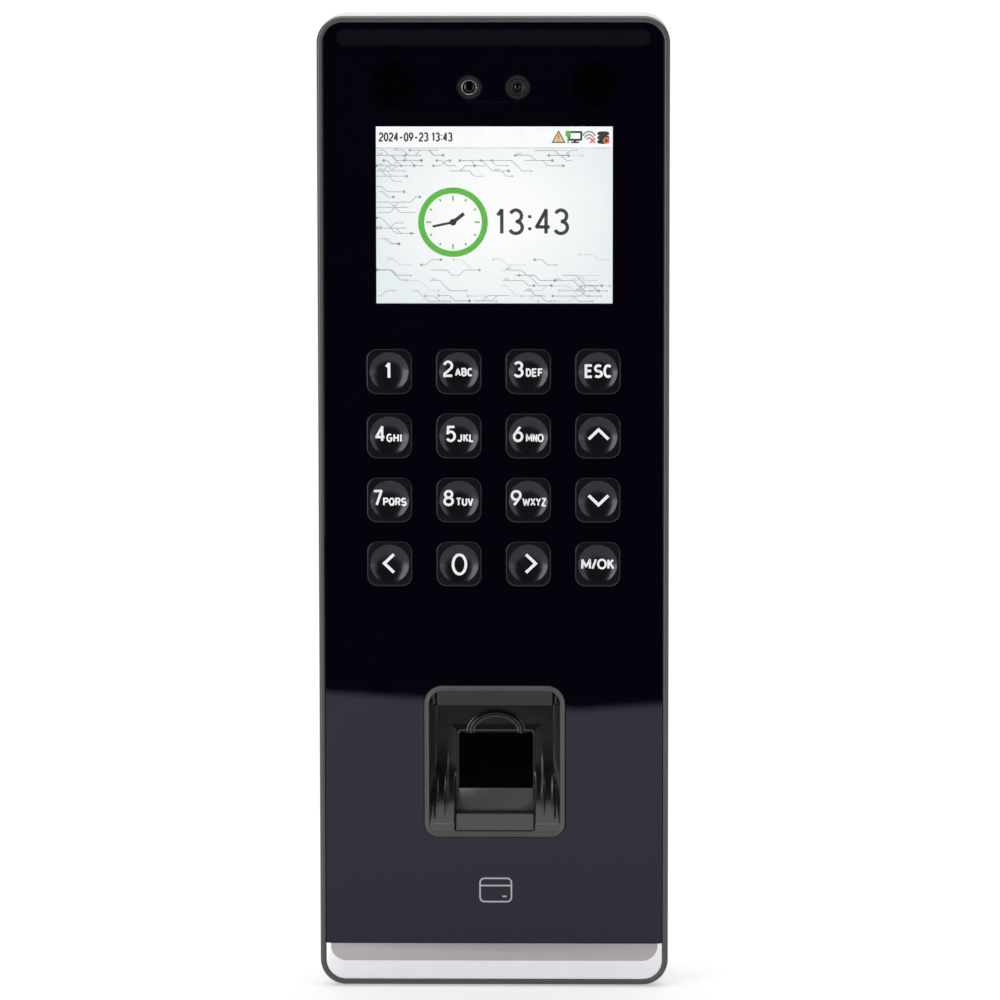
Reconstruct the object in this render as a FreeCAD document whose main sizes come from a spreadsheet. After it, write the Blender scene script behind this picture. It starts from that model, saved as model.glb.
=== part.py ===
"""Wall-mounted time clock terminal with keypad, fingerprint reader and face cameras.

Frame: origin at the centre of the wall plate's back face, +X to the right seen from the
front, +Z up, and the front faces -Y.  "Depth" below is the distance out from the wall.
"""
import FreeCAD, Part
import math
import os
import Sketcher

FreeCAD.newDocument("time_clock")
doc = FreeCAD.getDocument("time_clock")

# ---------------------------------------------------------------- driving dimensions
DIMENSIONS = [
    ("body_width", 73.0, "outer width of the front frame"),
    ("body_height", 203.2, "outer height of the front frame"),
    ("body_corner", 5.4, "corner radius of the front frame"),
    ("rim_depth", 24.0, "front of the rim, from the wall"),
    ("rim_width", 1.15, "width of the rim around the lens"),
    ("rim_round", 0.35, "rounding of the rim's outer edge"),
    ("deck_back", 20.0, "back of the frame's deck"),
    ("deck_front", 21.8, "front of the frame's deck"),
    ("skirt_back", 17.5, "back of the skirt inside the rear shell"),
    ("skirt_wall", 1.0, "thickness of the skirt"),
    ("skirt_gap", 0.1, "gap between the skirt and the rear shell"),
    ("lens_back", 22.15, "back of the front lens"),
    ("lens_front", 23.7, "front of the front lens"),
    ("lens_gap", 0.1, "gap between lens and rim"),
    ("lens_corner", 4.15, "top corner radius of the lens"),
    ("lens_bottom", -92.65, "bottom edge of the lens"),
    ("print_back", 22.0, "back of the printed film"),
    ("print_inset", 0.2, "how far the film stays inside the lens"),
    ("print_gap", 0.1, "how far the film's openings stand back from the lens's"),
    ("chin_bottom", -100.35, "bottom edge of the chin trim"),
    ("chin_width", 70.5, "width of the chin trim"),
    ("chin_fold", -96.4, "lower edge of the chin trim's flat face"),
    ("chin_side", 0.8, "width of the chin trim's side bevel"),
    ("chin_corner", 4.1, "lower corner radius of the chin trim"),
    ("chin_shoulder", 22.7, "depth where the chin trim's bevel starts"),
    ("chin_front", 23.95, "front of the chin trim"),
    ("shell_back", 0.4, "back of the rear shell"),
    ("shell_front", 19.6, "front edge of the rear shell"),
    ("shell_inset", 0.15, "how far the rear shell stays inside the frame"),
    ("shell_wall", 1.9, "wall of the rear shell"),
    ("shell_round", 2.0, "rounding of the rear shell's back edge"),
    ("seal_width", 1.2, "width of the case seal"),
    ("seal_inset", 0.6, "how far the case seal stays inside the frame"),
    ("plate_width", 44.0, "width of the wall plate"),
    ("plate_height", 186.0, "height of the wall plate"),
    ("plate_thick", 1.2, "thickness of the wall plate"),
    ("plate_corner", 2.0, "corner radius of the wall plate"),
    ("recess_gap", 0.4, "gap between wall plate and recess"),
    ("recess_front", 4.0, "depth of the recess floor"),
    ("tub_front", 5.9, "inner face of the recess floor"),
    ("tub_corner", 3.0, "corner radius of the tub round the recess"),
    ("recess_corner", 1.5, "corner radius of the recess"),
    ("wall_screw_x", 30.0, "wall screw spacing across"),
    ("wall_screw_z", 120.0, "wall screw spacing up"),
    ("wall_screw_radius", 2.25, "wall screw hole radius"),
    ("hook_x", 32.0, "hook spacing across"),
    ("hook_top_z", 70.0, "underside of the upper hooks"),
    ("hook_low_z", -68.0, "underside of the lower hooks"),
    ("hook_width", 6.0, "width of a hook"),
    ("hook_stub", 3.0, "height of a hook's stub"),
    ("hook_lip", 7.0, "height of a hook's lip"),
    ("hook_lip_thick", 1.2, "thickness of a hook's lip"),
    ("hook_clearance", 0.1, "gap between a hook's lip and the shell"),
    ("hook_rest", 0.05, "gap between a hook's stub and its slot's end"),
    ("slot_drop", 12.0, "height of a hook slot"),
    ("slot_gap", 0.7, "gap beside a hook in its slot"),
    ("slot_corner", 0.5, "corner radius of the slots in the recess floor"),
    ("bay_width", 36.0, "cable opening width"),
    ("bay_height", 24.0, "cable opening height"),
    ("bay_z", -20.0, "cable opening centre"),
    ("bay_corner", 2.0, "corner radius of the cable opening"),
    ("bay_margin", 1.0, "how much wider the shell's cable opening is than the plate's"),
    ("tab_width", 12.0, "width of the locking tab"),
    ("tab_thick", 1.5, "thickness of the locking tab"),
    ("tab_front", 10.4, "front of the locking tab"),
    ("tab_slot_gap", 0.6, "gap beside the locking tab in its slot"),
    ("tab_slot_height", 11.4, "height of the tab's slot"),
    ("tab_slot_rise", 5.4, "centre of the tab's slot above the plate's edge"),
    ("lock_depth", 7.6, "depth of the lock screw's axis"),
    ("lock_radius", 1.3, "lock screw shank radius"),
    ("lock_head", 2.7, "lock screw head radius"),
    ("lock_head_thick", 0.9, "thickness of the lock screw's head"),
    ("lock_head_sunk", 0.05, "how far the lock screw's head is sunk"),
    ("lock_reach", 2.5, "how far the lock screw reaches past the plate's edge"),
    ("lock_gap", 0.2, "clearance of the lock screw in the shell"),
    ("lock_drive_width", 3.4, "width of the lock screw's drive slot"),
    ("lock_drive_slot", 0.7, "thickness of the lock screw's drive slot"),
    ("sound_slot_x", 8.5, "first sound slot across"),
    ("sound_slot_depth", 10.0, "depth of the sound slots' centre"),
    ("sound_slot_width", 1.2, "width of a sound slot"),
    ("sound_slot_length", 7.0, "length of a sound slot"),
    ("sound_slot_corner", 0.55, "corner radius of a sound slot"),
    ("sound_slot_spread", 13.2, "spread of the row of sound slots"),
    ("case_screw_x", 58.0, "case screw spacing across"),
    ("case_screw_z", 184.0, "case screw spacing up"),
    ("case_post_radius", 3.0, "radius of the frame's screw posts"),
    ("case_boss_radius", 4.0, "radius of the shell's screw bosses"),
    ("case_boss_front", 6.9, "front of the shell's screw bosses"),
    ("case_screw_radius", 1.3, "case screw shank radius"),
    ("case_head_radius", 2.6, "case screw head radius"),
    ("case_head_back", 3.1, "back of a case screw's head"),
    ("case_head_front", 5.0, "front of a case screw's head"),
    ("case_head_gap", 0.3, "clearance round a case screw's head"),
    ("case_hole_gap", 0.2, "clearance round a case screw's shank"),
    ("case_shank_front", 16.0, "tip of a case screw"),
    ("case_drive_width", 2.6, "width of a case screw's drive slot"),
    ("case_drive_slot", 0.6, "thickness of a case screw's drive slot"),
    ("case_drive_front", 3.9, "floor of a case screw's drive slot"),
    ("case_post_gap", 0.05, "gap between a post and its boss"),
    ("board_width", 60.0, "main board width"),
    ("board_height", 168.0, "main board height"),
    ("board_back", 10.0, "back of the main board"),
    ("board_front", 11.4, "front of the main board"),
    ("board_corner", 2.0, "corner radius of the main board"),
    ("small_board_corner", 1.0, "corner radius of the smaller boards"),
    ("board_screw_x", 55.0, "board screw spacing across"),
    ("board_screw_z", 161.0, "board screw spacing up"),
    ("board_post_radius", 2.5, "radius of the board posts"),
    ("board_screw_radius", 0.9, "board screw shank radius"),
    ("board_hole_back", 4.0, "bottom of a board post's screw hole"),
    ("board_hole_gap", 0.2, "clearance of a board screw in the board"),
    ("board_screw_back", 4.6, "tip of a board screw"),
    ("board_head_radius", 1.8, "board screw head radius"),
    ("board_head_thick", 1.3, "thickness of a board screw's head"),
    ("board_drive_width", 2.0, "width of a board screw's drive slot"),
    ("board_drive_slot", 0.5, "thickness of a board screw's drive slot"),
    ("board_drive_depth", 0.6, "depth of a board screw's drive slot"),
    ("shield_x", -8.0, "processor shield across"),
    ("shield_z", 58.0, "processor shield up"),
    ("shield_side", 28.0, "side of the processor shield"),
    ("shield_corner", 1.5, "corner radius of the processor shield"),
    ("shield_thick", 2.6, "height of the processor shield"),
    ("vent_pitch", 4.0, "spacing of the shield's vents"),
    ("vent_radius", 0.6, "radius of a vent"),
    ("vent_depth", 0.5, "depth of a vent"),
    ("cell_x", -16.0, "backup cell across"),
    ("cell_z", 8.0, "backup cell up"),
    ("cell_radius", 6.25, "radius of the backup cell"),
    ("cell_thick", 2.4, "thickness of the backup cell"),
    ("header_corner", 0.4, "corner radius of a wire header"),
    ("header_wall", 0.8, "wall of a wire header"),
    ("header_floor", 1.2, "floor of a wire header"),
    ("header_mouth", 0.6, "mouth of a wire header, from the recess floor"),
    ("pin_side", 0.5, "side of a header pin"),
    ("pin_margin", 2.0, "distance from a header's end to its first pin"),
    ("pin_sunk", 1.0, "how far the pins stay behind a header's mouth"),
    ("pin_root", 0.1, "how far the pins start inside a header's floor"),
    ("screen_x", 0.2, "screen centre across"),
    ("screen_z", 60.6, "screen centre up"),
    ("screen_width", 48.96, "active screen width"),
    ("screen_height", 36.72, "active screen height"),
    ("panel_width", 60.3, "display panel width"),
    ("panel_height", 42.7, "display panel height"),
    ("panel_back", 20.3, "back of the display glass"),
    ("panel_front", 21.9, "front of the display glass"),
    ("panel_gap", 0.5, "gap round the display panel"),
    ("panel_opening_corner", 0.5, "corner radius of the display's opening"),
    ("light_back", 18.3, "back of the display's backlight"),
    ("light_margin", 0.2, "how far the backlight stands outside the panel"),
    ("light_corner", 1.0, "corner radius of the backlight"),
    ("light_rib", 4.0, "width of the rib round the backlight's back"),
    ("light_sunk", 0.4, "depth of the hollow in the backlight's back"),
    ("flex_width", 18.0, "width of the display's flat cable"),
    ("flex_depth", 19.4, "depth of the display's flat cable"),
    ("flex_drop", 1.7, "how far a flat cable drops below its board"),
    ("flex_land", 4.0, "length of a flat cable on the main board"),
    ("flex_thick", 0.3, "thickness of a flat cable"),
    ("key_pitch_x", 14.45, "key spacing across"),
    ("key_pitch_z", 13.43, "key spacing up"),
    ("key_top_z", 28.05, "centre of the top row of keys"),
    ("key_size", 9.4, "side of a key cap"),
    ("key_corner", 2.1, "corner radius of a key cap"),
    ("key_gap", 0.18, "gap between key cap and lens"),
    ("key_face", 24.4, "flat border of a key cap"),
    ("key_dish", 0.8, "depth of the round dish in a key's face"),
    ("key_dish_radius", 4.05, "radius of a key's dish"),
    ("key_flange", 10.8, "side of a key's retaining flange"),
    ("key_flange_back", 21.35, "back of a key's flange"),
    ("key_flange_front", 21.95, "front of a key's flange"),
    ("key_stem_back", 20.1, "end of a key's stem"),
    ("key_stem_radius", 1.8, "radius of a key's stem"),
    ("key_well", 11.6, "side of a key's opening in the deck"),
    ("key_well_corner", 2.5, "corner radius of a key's opening in the deck"),
    ("mat_back", 18.5, "back of the key mat"),
    ("mat_front", 18.9, "front of the key mat's sheet"),
    ("mat_boss_front", 19.2, "front of the key mat's bosses"),
    ("mat_boss_radius", 2.6, "radius of the key mat's bosses"),
    ("mat_inset", 0.5, "how far the mat stays inside the keypad board"),
    ("mat_corner", 2.0, "corner radius of the key mat"),
    ("keypad_width", 60.0, "keypad board width"),
    ("keypad_height", 56.5, "keypad board height"),
    ("keypad_back", 17.2, "back of the keypad board"),
    ("keypad_front", 18.2, "front of the keypad board"),
    ("keypad_corner", 1.5, "corner radius of the keypad board"),
    ("dome_radius", 2.5, "radius of a key's switch dome"),
    ("cable_width", 14.0, "width of the keypad's flat cable"),
    ("cable_depth", 17.8, "depth of the keypad's flat cable"),
    ("finger_x", 0.15, "fingerprint module centre across"),
    ("finger_z", -54.0, "fingerprint module centre up"),
    ("finger_width", 29.4, "fingerprint module width"),
    ("finger_height", 32.0, "fingerprint module height"),
    ("finger_top_corner", 3.8, "top corner radius of the module"),
    ("finger_low_corner", 2.8, "bottom corner radius of the module"),
    ("finger_gap", 0.15, "gap between module and lens"),
    ("finger_back", 12.5, "back of the fingerprint module"),
    ("finger_front", 24.3, "front of the fingerprint module"),
    ("finger_flange", 1.8, "how far the module's flange stands out"),
    ("finger_flange_back", 18.2, "back of the module's flange"),
    ("finger_flange_front", 19.6, "front of the module's flange"),
    ("well_top", -38.95, "top edge of the finger well"),
    ("well_low", -68.8, "bottom edge of the finger well"),
    ("well_wide", 27.3, "width of the finger well at the front"),
    ("well_mid", 24.0, "width of the finger well's middle step"),
    ("well_narrow", 19.6, "width of the finger well's floor"),
    ("floor_top_z", -46.7, "top of the well's sloping floor"),
    ("floor_low_z", -65.9, "bottom of the well's sloping floor"),
    ("floor_top_depth", 18.0, "depth of the floor's upper end"),
    ("floor_low_depth", 18.7, "depth of the floor's lower end"),
    ("wall_foot_z", -43.5, "foot of the well's sloping top wall"),
    ("wall_foot_depth", 18.5, "depth of the top wall's foot"),
    ("step_rise", 1.3, "height of one step beside the floor"),
    ("step_fade", 0.4, "share of a step's height left at the floor's lower end"),
    ("well_lip", 0.3, "how far the well's mouth lies in front of the rim"),
    ("prism_width", 15.9, "width of the sensor prism"),
    ("prism_top_z", -48.7, "top edge of the sensor prism"),
    ("prism_back", 13.2, "back of the sensor prism"),
    ("prism_fit", 0.05, "gap round the sensor prism"),
    ("prism_sunk", 0.1, "how far the prism's face lies behind the floor"),
    ("sensor_board_drop", 3.3, "sensor board centre below the module's"),
    ("sensor_board_side", 24.0, "side of the sensor board"),
    ("sensor_board_thick", 0.8, "thickness of the sensor board"),
    ("camera_x", 10.0, "camera spacing"),
    ("camera_z", 87.05, "camera height"),
    ("camera_radius", 2.45, "camera barrel radius"),
    ("camera_pupil", 1.45, "camera front opening radius"),
    ("camera_window", 2.5, "radius of the film's camera windows"),
    ("camera_opening", 3.2, "radius of the deck's camera openings"),
    ("camera_fit", 0.03, "clearance of a camera in its sleeve"),
    ("camera_back", 17.4, "back of a camera"),
    ("camera_front", 21.7, "front of a camera"),
    ("camera_cone", 0.6, "depth of a camera's front opening"),
    ("sleeve_radius", 3.0, "radius of a camera's sleeve"),
    ("sleeve_front", 21.4, "front of a camera's sleeve"),
    ("holder_width", 18.0, "width of the camera holder"),
    ("holder_height", 8.4, "height of the camera holder"),
    ("holder_back", 16.4, "back of the camera holder"),
    ("holder_front", 19.6, "front of the camera holder's plate"),
    ("camera_board_width", 22.0, "width of the camera board"),
    ("camera_board_height", 9.6, "height of the camera board"),
    ("camera_board_thick", 1.0, "thickness of the camera board"),
    ("infrared_x", 41.7, "infrared lamp spacing"),
    ("infrared_z", 87.6, "infrared lamp height"),
    ("infrared_radius", 4.9, "infrared reflector radius"),
    ("infrared_gap", 0.2, "gap round a reflector in the deck"),
    ("infrared_back", 18.8, "back of a reflector"),
    ("infrared_front", 21.7, "front of a reflector"),
    ("infrared_floor", 19.6, "floor of a reflector's bowl"),
    ("infrared_wall", 0.6, "wall of a reflector's bowl"),
    ("infrared_chip", 3.5, "side of an infrared lamp chip"),
    ("infrared_chip_thick", 1.0, "height of an infrared lamp chip"),
    ("fill_z", 97.3, "fill light centre"),
    ("fill_width", 65.0, "fill light width"),
    ("fill_height", 3.3, "fill light height"),
    ("fill_corner", 1.6, "corner radius of the fill light's window"),
    ("fill_gap", 0.2, "gap round the diffuser in the deck"),
    ("diffuser_margin", 0.1, "how far the diffuser stands outside its window"),
    ("diffuser_back", 20.1, "back of the diffuser"),
    ("diffuser_front", 21.9, "front of the diffuser"),
    ("light_board_drop", 0.75, "light board centre below the window's"),
    ("light_board_width", 62.0, "width of the light board"),
    ("light_board_height", 2.6, "height of the light board"),
    ("light_board_back", 18.5, "back of the light board"),
    ("light_board_front", 19.3, "front of the light board"),
    ("light_chip_pitch", 7.6, "spacing of the fill light's chips"),
    ("light_chip_width", 2.8, "width of a fill light chip"),
    ("light_chip_height", 1.6, "height of a fill light chip"),
    ("light_chip_thick", 0.6, "thickness of a fill light chip"),
    ("card_z", -80.4, "card antenna centre"),
    ("card_width", 50.0, "card antenna board width"),
    ("card_height", 16.0, "card antenna board height"),
    ("card_back", 18.7, "back of the card antenna board"),
    ("card_front", 19.7, "front of the card antenna board"),
    ("speaker_x", 15.2, "speaker across"),
    ("speaker_z", -92.4, "speaker up"),
    ("speaker_width", 15.0, "width of the speaker"),
    ("speaker_height", 9.6, "height of the speaker"),
    ("speaker_corner", 2.0, "corner radius of the speaker"),
    ("speaker_back", 6.2, "back of the speaker"),
    ("speaker_front", 9.8, "front of the speaker"),
    ("speaker_rim", 2.0, "rim round the speaker's cone"),
    ("speaker_cone", 0.6, "depth of the speaker's cone"),
    ("tamper_x", 12.0, "tamper plunger across"),
    ("tamper_z", -44.0, "tamper plunger up"),
    ("plunger_radius", 1.5, "tamper plunger radius"),
    ("plunger_clearance", 0.08, "running clearance of the plungers"),
    ("plunger_hole_gap", 0.3, "gap round the plunger in plate and shell"),
    ("plunger_round", 0.4, "rounding of the tamper plunger's tip"),
    ("tamper_back", 0.05, "tip of the tamper plunger"),
    ("tamper_front", 7.8, "inner end of the tamper plunger"),
    ("tamper_side", 7.0, "side of the tamper switch"),
    ("tamper_body_back", 6.1, "back of the tamper switch"),
    ("switch_corner", 0.5, "corner radius of the switches"),
    ("switch_bore_front", 9.6, "inner end of a switch's bore"),
    ("reset_x", 12.0, "reset button across"),
    ("reset_z", -28.0, "reset button up"),
    ("reset_side", 6.0, "side of the reset switch"),
    ("reset_body_back", 7.4, "back of the reset switch"),
    ("reset_back", 5.6, "outer end of the reset button"),
    ("reset_front", 9.0, "inner end of the reset button"),
]


class Size:
    """A length with its number and the spreadsheet formula that it comes from."""

    def __init__(self, number, formula):
        self.number = float(number)
        self.formula = formula

    def joined(self, other, number, sign):
        return Size(number, "(%s %s %s)" % (self.formula, sign, as_size(other).formula))

    def __add__(self, other):
        return self.joined(other, self.number + as_size(other).number, "+")

    def __sub__(self, other):
        return self.joined(other, self.number - as_size(other).number, "-")

    def __mul__(self, other):
        return self.joined(other, self.number * as_size(other).number, "*")

    def __truediv__(self, other):
        return self.joined(other, self.number / as_size(other).number, "/")

    def __neg__(self):
        return self * -1


def as_size(value):
    return value if isinstance(value, Size) else Size(value, repr(float(value)))


class SizeSheet:
    """The driving dimensions, one named Size for each row of the spreadsheet."""

    def __init__(self, rows):
        self.sheet = doc.addObject("Spreadsheet::Sheet", "Sizes")
        for row, (alias, number, note) in enumerate(rows, start=1):
            self.sheet.set("A%d" % row, alias)
            self.sheet.set("B%d" % row, str(number))
            self.sheet.setAlias("B%d" % row, alias)
            self.sheet.set("C%d" % row, note)
            setattr(self, alias, Size(number, "Sizes." + alias))


S = SizeSheet(DIMENSIONS)
doc.recompute()


def bind(thing, name, value):
    """Tie a property to its spreadsheet formula."""
    value = as_size(value)
    thing.setExpression(name, value.formula)


# ---------------------------------------------------------------- sketch outlines
def line(x1, y1, x2, y2):
    return Part.LineSegment(FreeCAD.Vector(x1, y1, 0), FreeCAD.Vector(x2, y2, 0))


def constrain(sketch, kind, value, *where):
    """Add one dimension to a sketch and tie it to the spreadsheet."""
    value = as_size(value)
    number = sketch.addConstraint(Sketcher.Constraint(kind, *where, value.number))
    if "Sizes." in value.formula:
        sketch.setExpression("Constraints[%d]" % number, value.formula)


class Rounded:
    """A rectangle with rounded corners; a radius of None leaves those corners sharp."""

    def __init__(self, x, y, width, height, top=None, bottom=None):
        x, y, width, height = as_size(x), as_size(y), as_size(width), as_size(height)
        self.left, self.right = x - width / 2, x + width / 2
        self.low, self.high = y - height / 2, y + height / 2
        self.top, self.bottom = top, bottom

    def draw(self, sketch):
        left, right = self.left.number, self.right.number
        low, high = self.low.number, self.high.number
        top = as_size(self.top or 0).number
        bottom = as_size(self.bottom or 0).number
        base = sketch.addGeometry(line(left + bottom, low, right - bottom, low))
        side = sketch.addGeometry(line(right, low + bottom, right, high - top))
        roof = sketch.addGeometry(line(right - top, high, left + top, high))
        back = sketch.addGeometry(line(left, high - top, left, low + bottom))
        corners = [
            (base, side, right - bottom, low + bottom, bottom, 3, self.bottom),
            (side, roof, right - top, high - top, top, 0, self.top),
            (roof, back, left + top, high - top, top, 1, self.top),
            (back, base, left + bottom, low + bottom, bottom, 2, self.bottom),
        ]
        for first, second, x, y, radius, quarter, size in corners:
            if size is None:
                sketch.addConstraint(Sketcher.Constraint("Coincident", first, 2, second, 1))
                continue
            circle = Part.Circle(FreeCAD.Vector(x, y, 0), FreeCAD.Vector(0, 0, 1), radius)
            start = quarter * RIGHT_ANGLE
            arc = sketch.addGeometry(Part.ArcOfCircle(circle, start, start + RIGHT_ANGLE))
            sketch.addConstraint(Sketcher.Constraint("Tangent", first, 2, arc, 1))
            sketch.addConstraint(Sketcher.Constraint("Tangent", arc, 2, second, 1))
            constrain(sketch, "Radius", size, arc)
        for level in (base, roof):
            sketch.addConstraint(Sketcher.Constraint("Horizontal", level))
        for upright in (side, back):
            sketch.addConstraint(Sketcher.Constraint("Vertical", upright))
        constrain(sketch, "DistanceX", self.left, back, 1)
        constrain(sketch, "DistanceX", self.right, side, 1)
        constrain(sketch, "DistanceY", self.low, base, 1)
        constrain(sketch, "DistanceY", self.high, roof, 1)


class Round:
    """A circle."""

    def __init__(self, x, y, radius):
        self.x, self.y, self.radius = as_size(x), as_size(y), as_size(radius)

    def draw(self, sketch):
        centre = FreeCAD.Vector(self.x.number, self.y.number, 0)
        circle = Part.Circle(centre, FreeCAD.Vector(0, 0, 1), self.radius.number)
        number = sketch.addGeometry(circle)
        constrain(sketch, "Radius", self.radius, number)
        constrain(sketch, "DistanceX", self.x, number, 3)
        constrain(sketch, "DistanceY", self.y, number, 3)


class Polygon:
    """A closed outline of straight edges through the given points."""

    def __init__(self, *points):
        self.points = [(as_size(x), as_size(y)) for x, y in points]

    def draw(self, sketch):
        ends = self.points[1:] + self.points[:1]
        edges = []
        for (x1, y1), (x2, y2) in zip(self.points, ends):
            edges.append(sketch.addGeometry(line(x1.number, y1.number, x2.number, y2.number)))
        for edge, following in zip(edges, edges[1:] + edges[:1]):
            sketch.addConstraint(Sketcher.Constraint("Coincident", edge, 2, following, 1))
        for edge, (x, y) in zip(edges, self.points):
            constrain(sketch, "DistanceX", x, edge, 1)
            constrain(sketch, "DistanceY", y, edge, 1)


RIGHT_ANGLE = math.pi / 2
PAST = 1.0                    # how far a cut runs past the face it goes through
ROOT = 0.5                    # how far a pad starts inside the one that carries it
FRONT_PLANE = "XZ_Plane"      # sketches seen from the front; they pad outwards, towards -Y
SIDE_PLANE = "YZ_Plane"       # sketches in the side view; x runs along Y, y along Z
LEVEL_PLANE = "XY_Plane"      # sketches seen from above

SOUND_SLOTS = 6
KEYS_ACROSS = 4
KEYS_UP = 4
FILL_CHIPS = 8
SUBPARTS = []


# ---------------------------------------------------------------- modelling steps
def new_body(label):
    body = doc.addObject("PartDesign::Body", label)
    body.Label = label
    SUBPARTS.append(body)
    return body


def new_sketch(body, name, plane, offset, outlines):
    """A sketch with the given outlines, parallel to one of the body's own planes."""
    sketch = body.newObject("Sketcher::SketchObject", body.Label + "_" + name + "_sketch")
    support = [item for item in body.Origin.OriginFeatures if item.Role == plane][0]
    sketch.AttachmentSupport = [(support, "")]
    sketch.MapMode = "FlatFace"
    offset = as_size(offset)
    sketch.AttachmentOffset = FreeCAD.Placement(FreeCAD.Vector(0, 0, offset.number),
                                                FreeCAD.Rotation())
    bind(sketch, "AttachmentOffset.Base.z", offset)
    for outline in outlines:
        outline.draw(sketch)
    return sketch


def pad(body, name, outlines, back, front):
    """Add material between two depths, seen from the front."""
    back, front = as_size(back), as_size(front)
    feature_sketch = new_sketch(body, name, FRONT_PLANE, back, outlines)
    feature = body.newObject("PartDesign::Pad", body.Label + "_" + name)
    feature.Profile = feature_sketch
    feature.Length = front.number - back.number
    bind(feature, "Length", front - back)
    return feature


def pocket(body, name, outlines, back, front):
    """Cut away what lies between two depths, seen from the front."""
    back, front = as_size(back), as_size(front)
    feature_sketch = new_sketch(body, name, FRONT_PLANE, front, outlines)
    feature = body.newObject("PartDesign::Pocket", body.Label + "_" + name)
    feature.Profile = feature_sketch
    feature.Length = front.number - back.number
    bind(feature, "Length", front - back)
    return feature


def side_profile(body, kind, name, outline, centre, width):
    """Pad or pocket a side view outline, evenly about a centre line across X."""
    centre, width = as_size(centre), as_size(width)
    feature_sketch = new_sketch(body, name, SIDE_PLANE, centre, [outline])
    feature = body.newObject("PartDesign::" + kind, body.Label + "_" + name)
    feature.Profile = feature_sketch
    feature.SideType = "Symmetric"
    feature.Length = width.number
    bind(feature, "Length", width)
    return feature


def level_pocket(body, name, outlines, top, bottom):
    """Cut downwards between two heights."""
    top, bottom = as_size(top), as_size(bottom)
    feature_sketch = new_sketch(body, name, LEVEL_PLANE, top, outlines)
    feature = body.newObject("PartDesign::Pocket", body.Label + "_" + name)
    feature.Profile = feature_sketch
    feature.Length = top.number - bottom.number
    bind(feature, "Length", top - bottom)
    return feature


def grid(body, feature, width, columns, height, rows):
    """Repeat a feature to the right and upwards, over the whole width and height."""
    pattern = body.newObject("PartDesign::LinearPattern", feature.Name + "_grid")
    pattern.Originals = [feature]
    pattern.Direction = (feature.Profile[0], ["H_Axis"])
    pattern.Occurrences = columns
    pattern.Length = as_size(width).number
    bind(pattern, "Length", width)
    if rows > 1:
        pattern.Direction2 = (feature.Profile[0], ["V_Axis"])
        pattern.Occurrences2 = rows
        pattern.Length2 = as_size(height).number
        bind(pattern, "Length2", height)
    body.Tip = pattern
    return pattern


def round_edges(body, feature, radius, wanted):
    """Round the edges of a feature that a test on an edge's box accepts."""
    doc.recompute()
    names = []
    for number, edge in enumerate(feature.Shape.Edges, start=1):
        if wanted(edge.BoundBox):
            names.append("Edge%d" % number)
    fillet = body.newObject("PartDesign::Fillet", feature.Name + "_round")
    fillet.Base = (feature, names)
    fillet.Radius = as_size(radius).number
    bind(fillet, "Radius", radius)
    return fillet


def slab(label, outlines, back, front):
    """A flat sub-part made by one pad."""
    body = new_body(label)
    pad(body, "plate", outlines, back, front)
    return body


def flat_at(depth):
    """Test for edges that lie in the plane at one depth."""
    def wanted(box):
        return abs(box.YMin + depth.number) < 1e-3 and abs(box.YMax + depth.number) < 1e-3
    return wanted


def block(name, x, z, width, height, back, front):
    """A plain box given by its centre, size and depths."""
    box = doc.addObject("Part::Box", name)
    width, height, back, front = as_size(width), as_size(height), as_size(back), as_size(front)
    bind(box, "Length", width)
    bind(box, "Width", front - back)
    bind(box, "Height", height)
    bind(box, "Placement.Base.x", as_size(x) - width / 2)
    bind(box, "Placement.Base.y", -front)
    bind(box, "Placement.Base.z", as_size(z) - height / 2)
    return box


def disc(name, x, z, radius, back, front):
    """A round rod along Y given by its axis, radius and depths."""
    rod = doc.addObject("Part::Cylinder", name)
    back, front = as_size(back), as_size(front)
    bind(rod, "Radius", radius)
    bind(rod, "Height", front - back)
    rod.Placement.Rotation = FreeCAD.Rotation(FreeCAD.Vector(1, 0, 0), 90)
    bind(rod, "Placement.Base.x", x)
    bind(rod, "Placement.Base.y", -back)
    bind(rod, "Placement.Base.z", z)
    return rod


def group(label, pieces):
    """Separate solids that share one node."""
    compound = doc.addObject("Part::Compound", label)
    compound.Label = label
    compound.Links = pieces
    SUBPARTS.append(compound)
    return compound


def labelled(label, feature):
    feature.Label = label
    SUBPARTS.append(feature)
    return feature


def fused(name, pieces):
    fusion = doc.addObject("Part::MultiFuse", name)
    fusion.Shapes = pieces
    return fusion


def cut(name, base, tool):
    result = doc.addObject("Part::Cut", name)
    result.Base = base
    result.Tool = tool
    return result


# ---------------------------------------------------------------- shared outlines
key_grid_width = S.key_pitch_x * (KEYS_ACROSS - 1)
key_grid_height = S.key_pitch_z * (KEYS_UP - 1)
key_left_x = -key_grid_width / 2
key_low_z = S.key_top_z - key_grid_height
shell_width = S.body_width - S.shell_inset * 2
shell_height = S.body_height - S.shell_inset * 2
cavity_width = shell_width - S.shell_wall * 2
cavity_height = shell_height - S.shell_wall * 2
cavity_corner = S.body_corner - S.shell_inset - S.shell_wall
lens_width = S.body_width - S.rim_width * 2 - S.lens_gap * 2
lens_top = S.body_height / 2 - S.rim_width - S.lens_gap
lens_height = lens_top - S.lens_bottom
lens_middle = (lens_top + S.lens_bottom) / 2


def finger_outline(grow):
    """The fingerprint module's outline, grown by a gap."""
    return Rounded(S.finger_x, S.finger_z, S.finger_width + as_size(grow) * 2,
                   S.finger_height + as_size(grow) * 2,
                   S.finger_top_corner + grow, S.finger_low_corner + grow)


def fill_outline(grow):
    """The fill light's window, grown by a gap."""
    corner = S.fill_corner + grow
    return Rounded(0, S.fill_z, S.fill_width + as_size(grow) * 2,
                   S.fill_height + as_size(grow) * 2, corner, corner)


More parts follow.
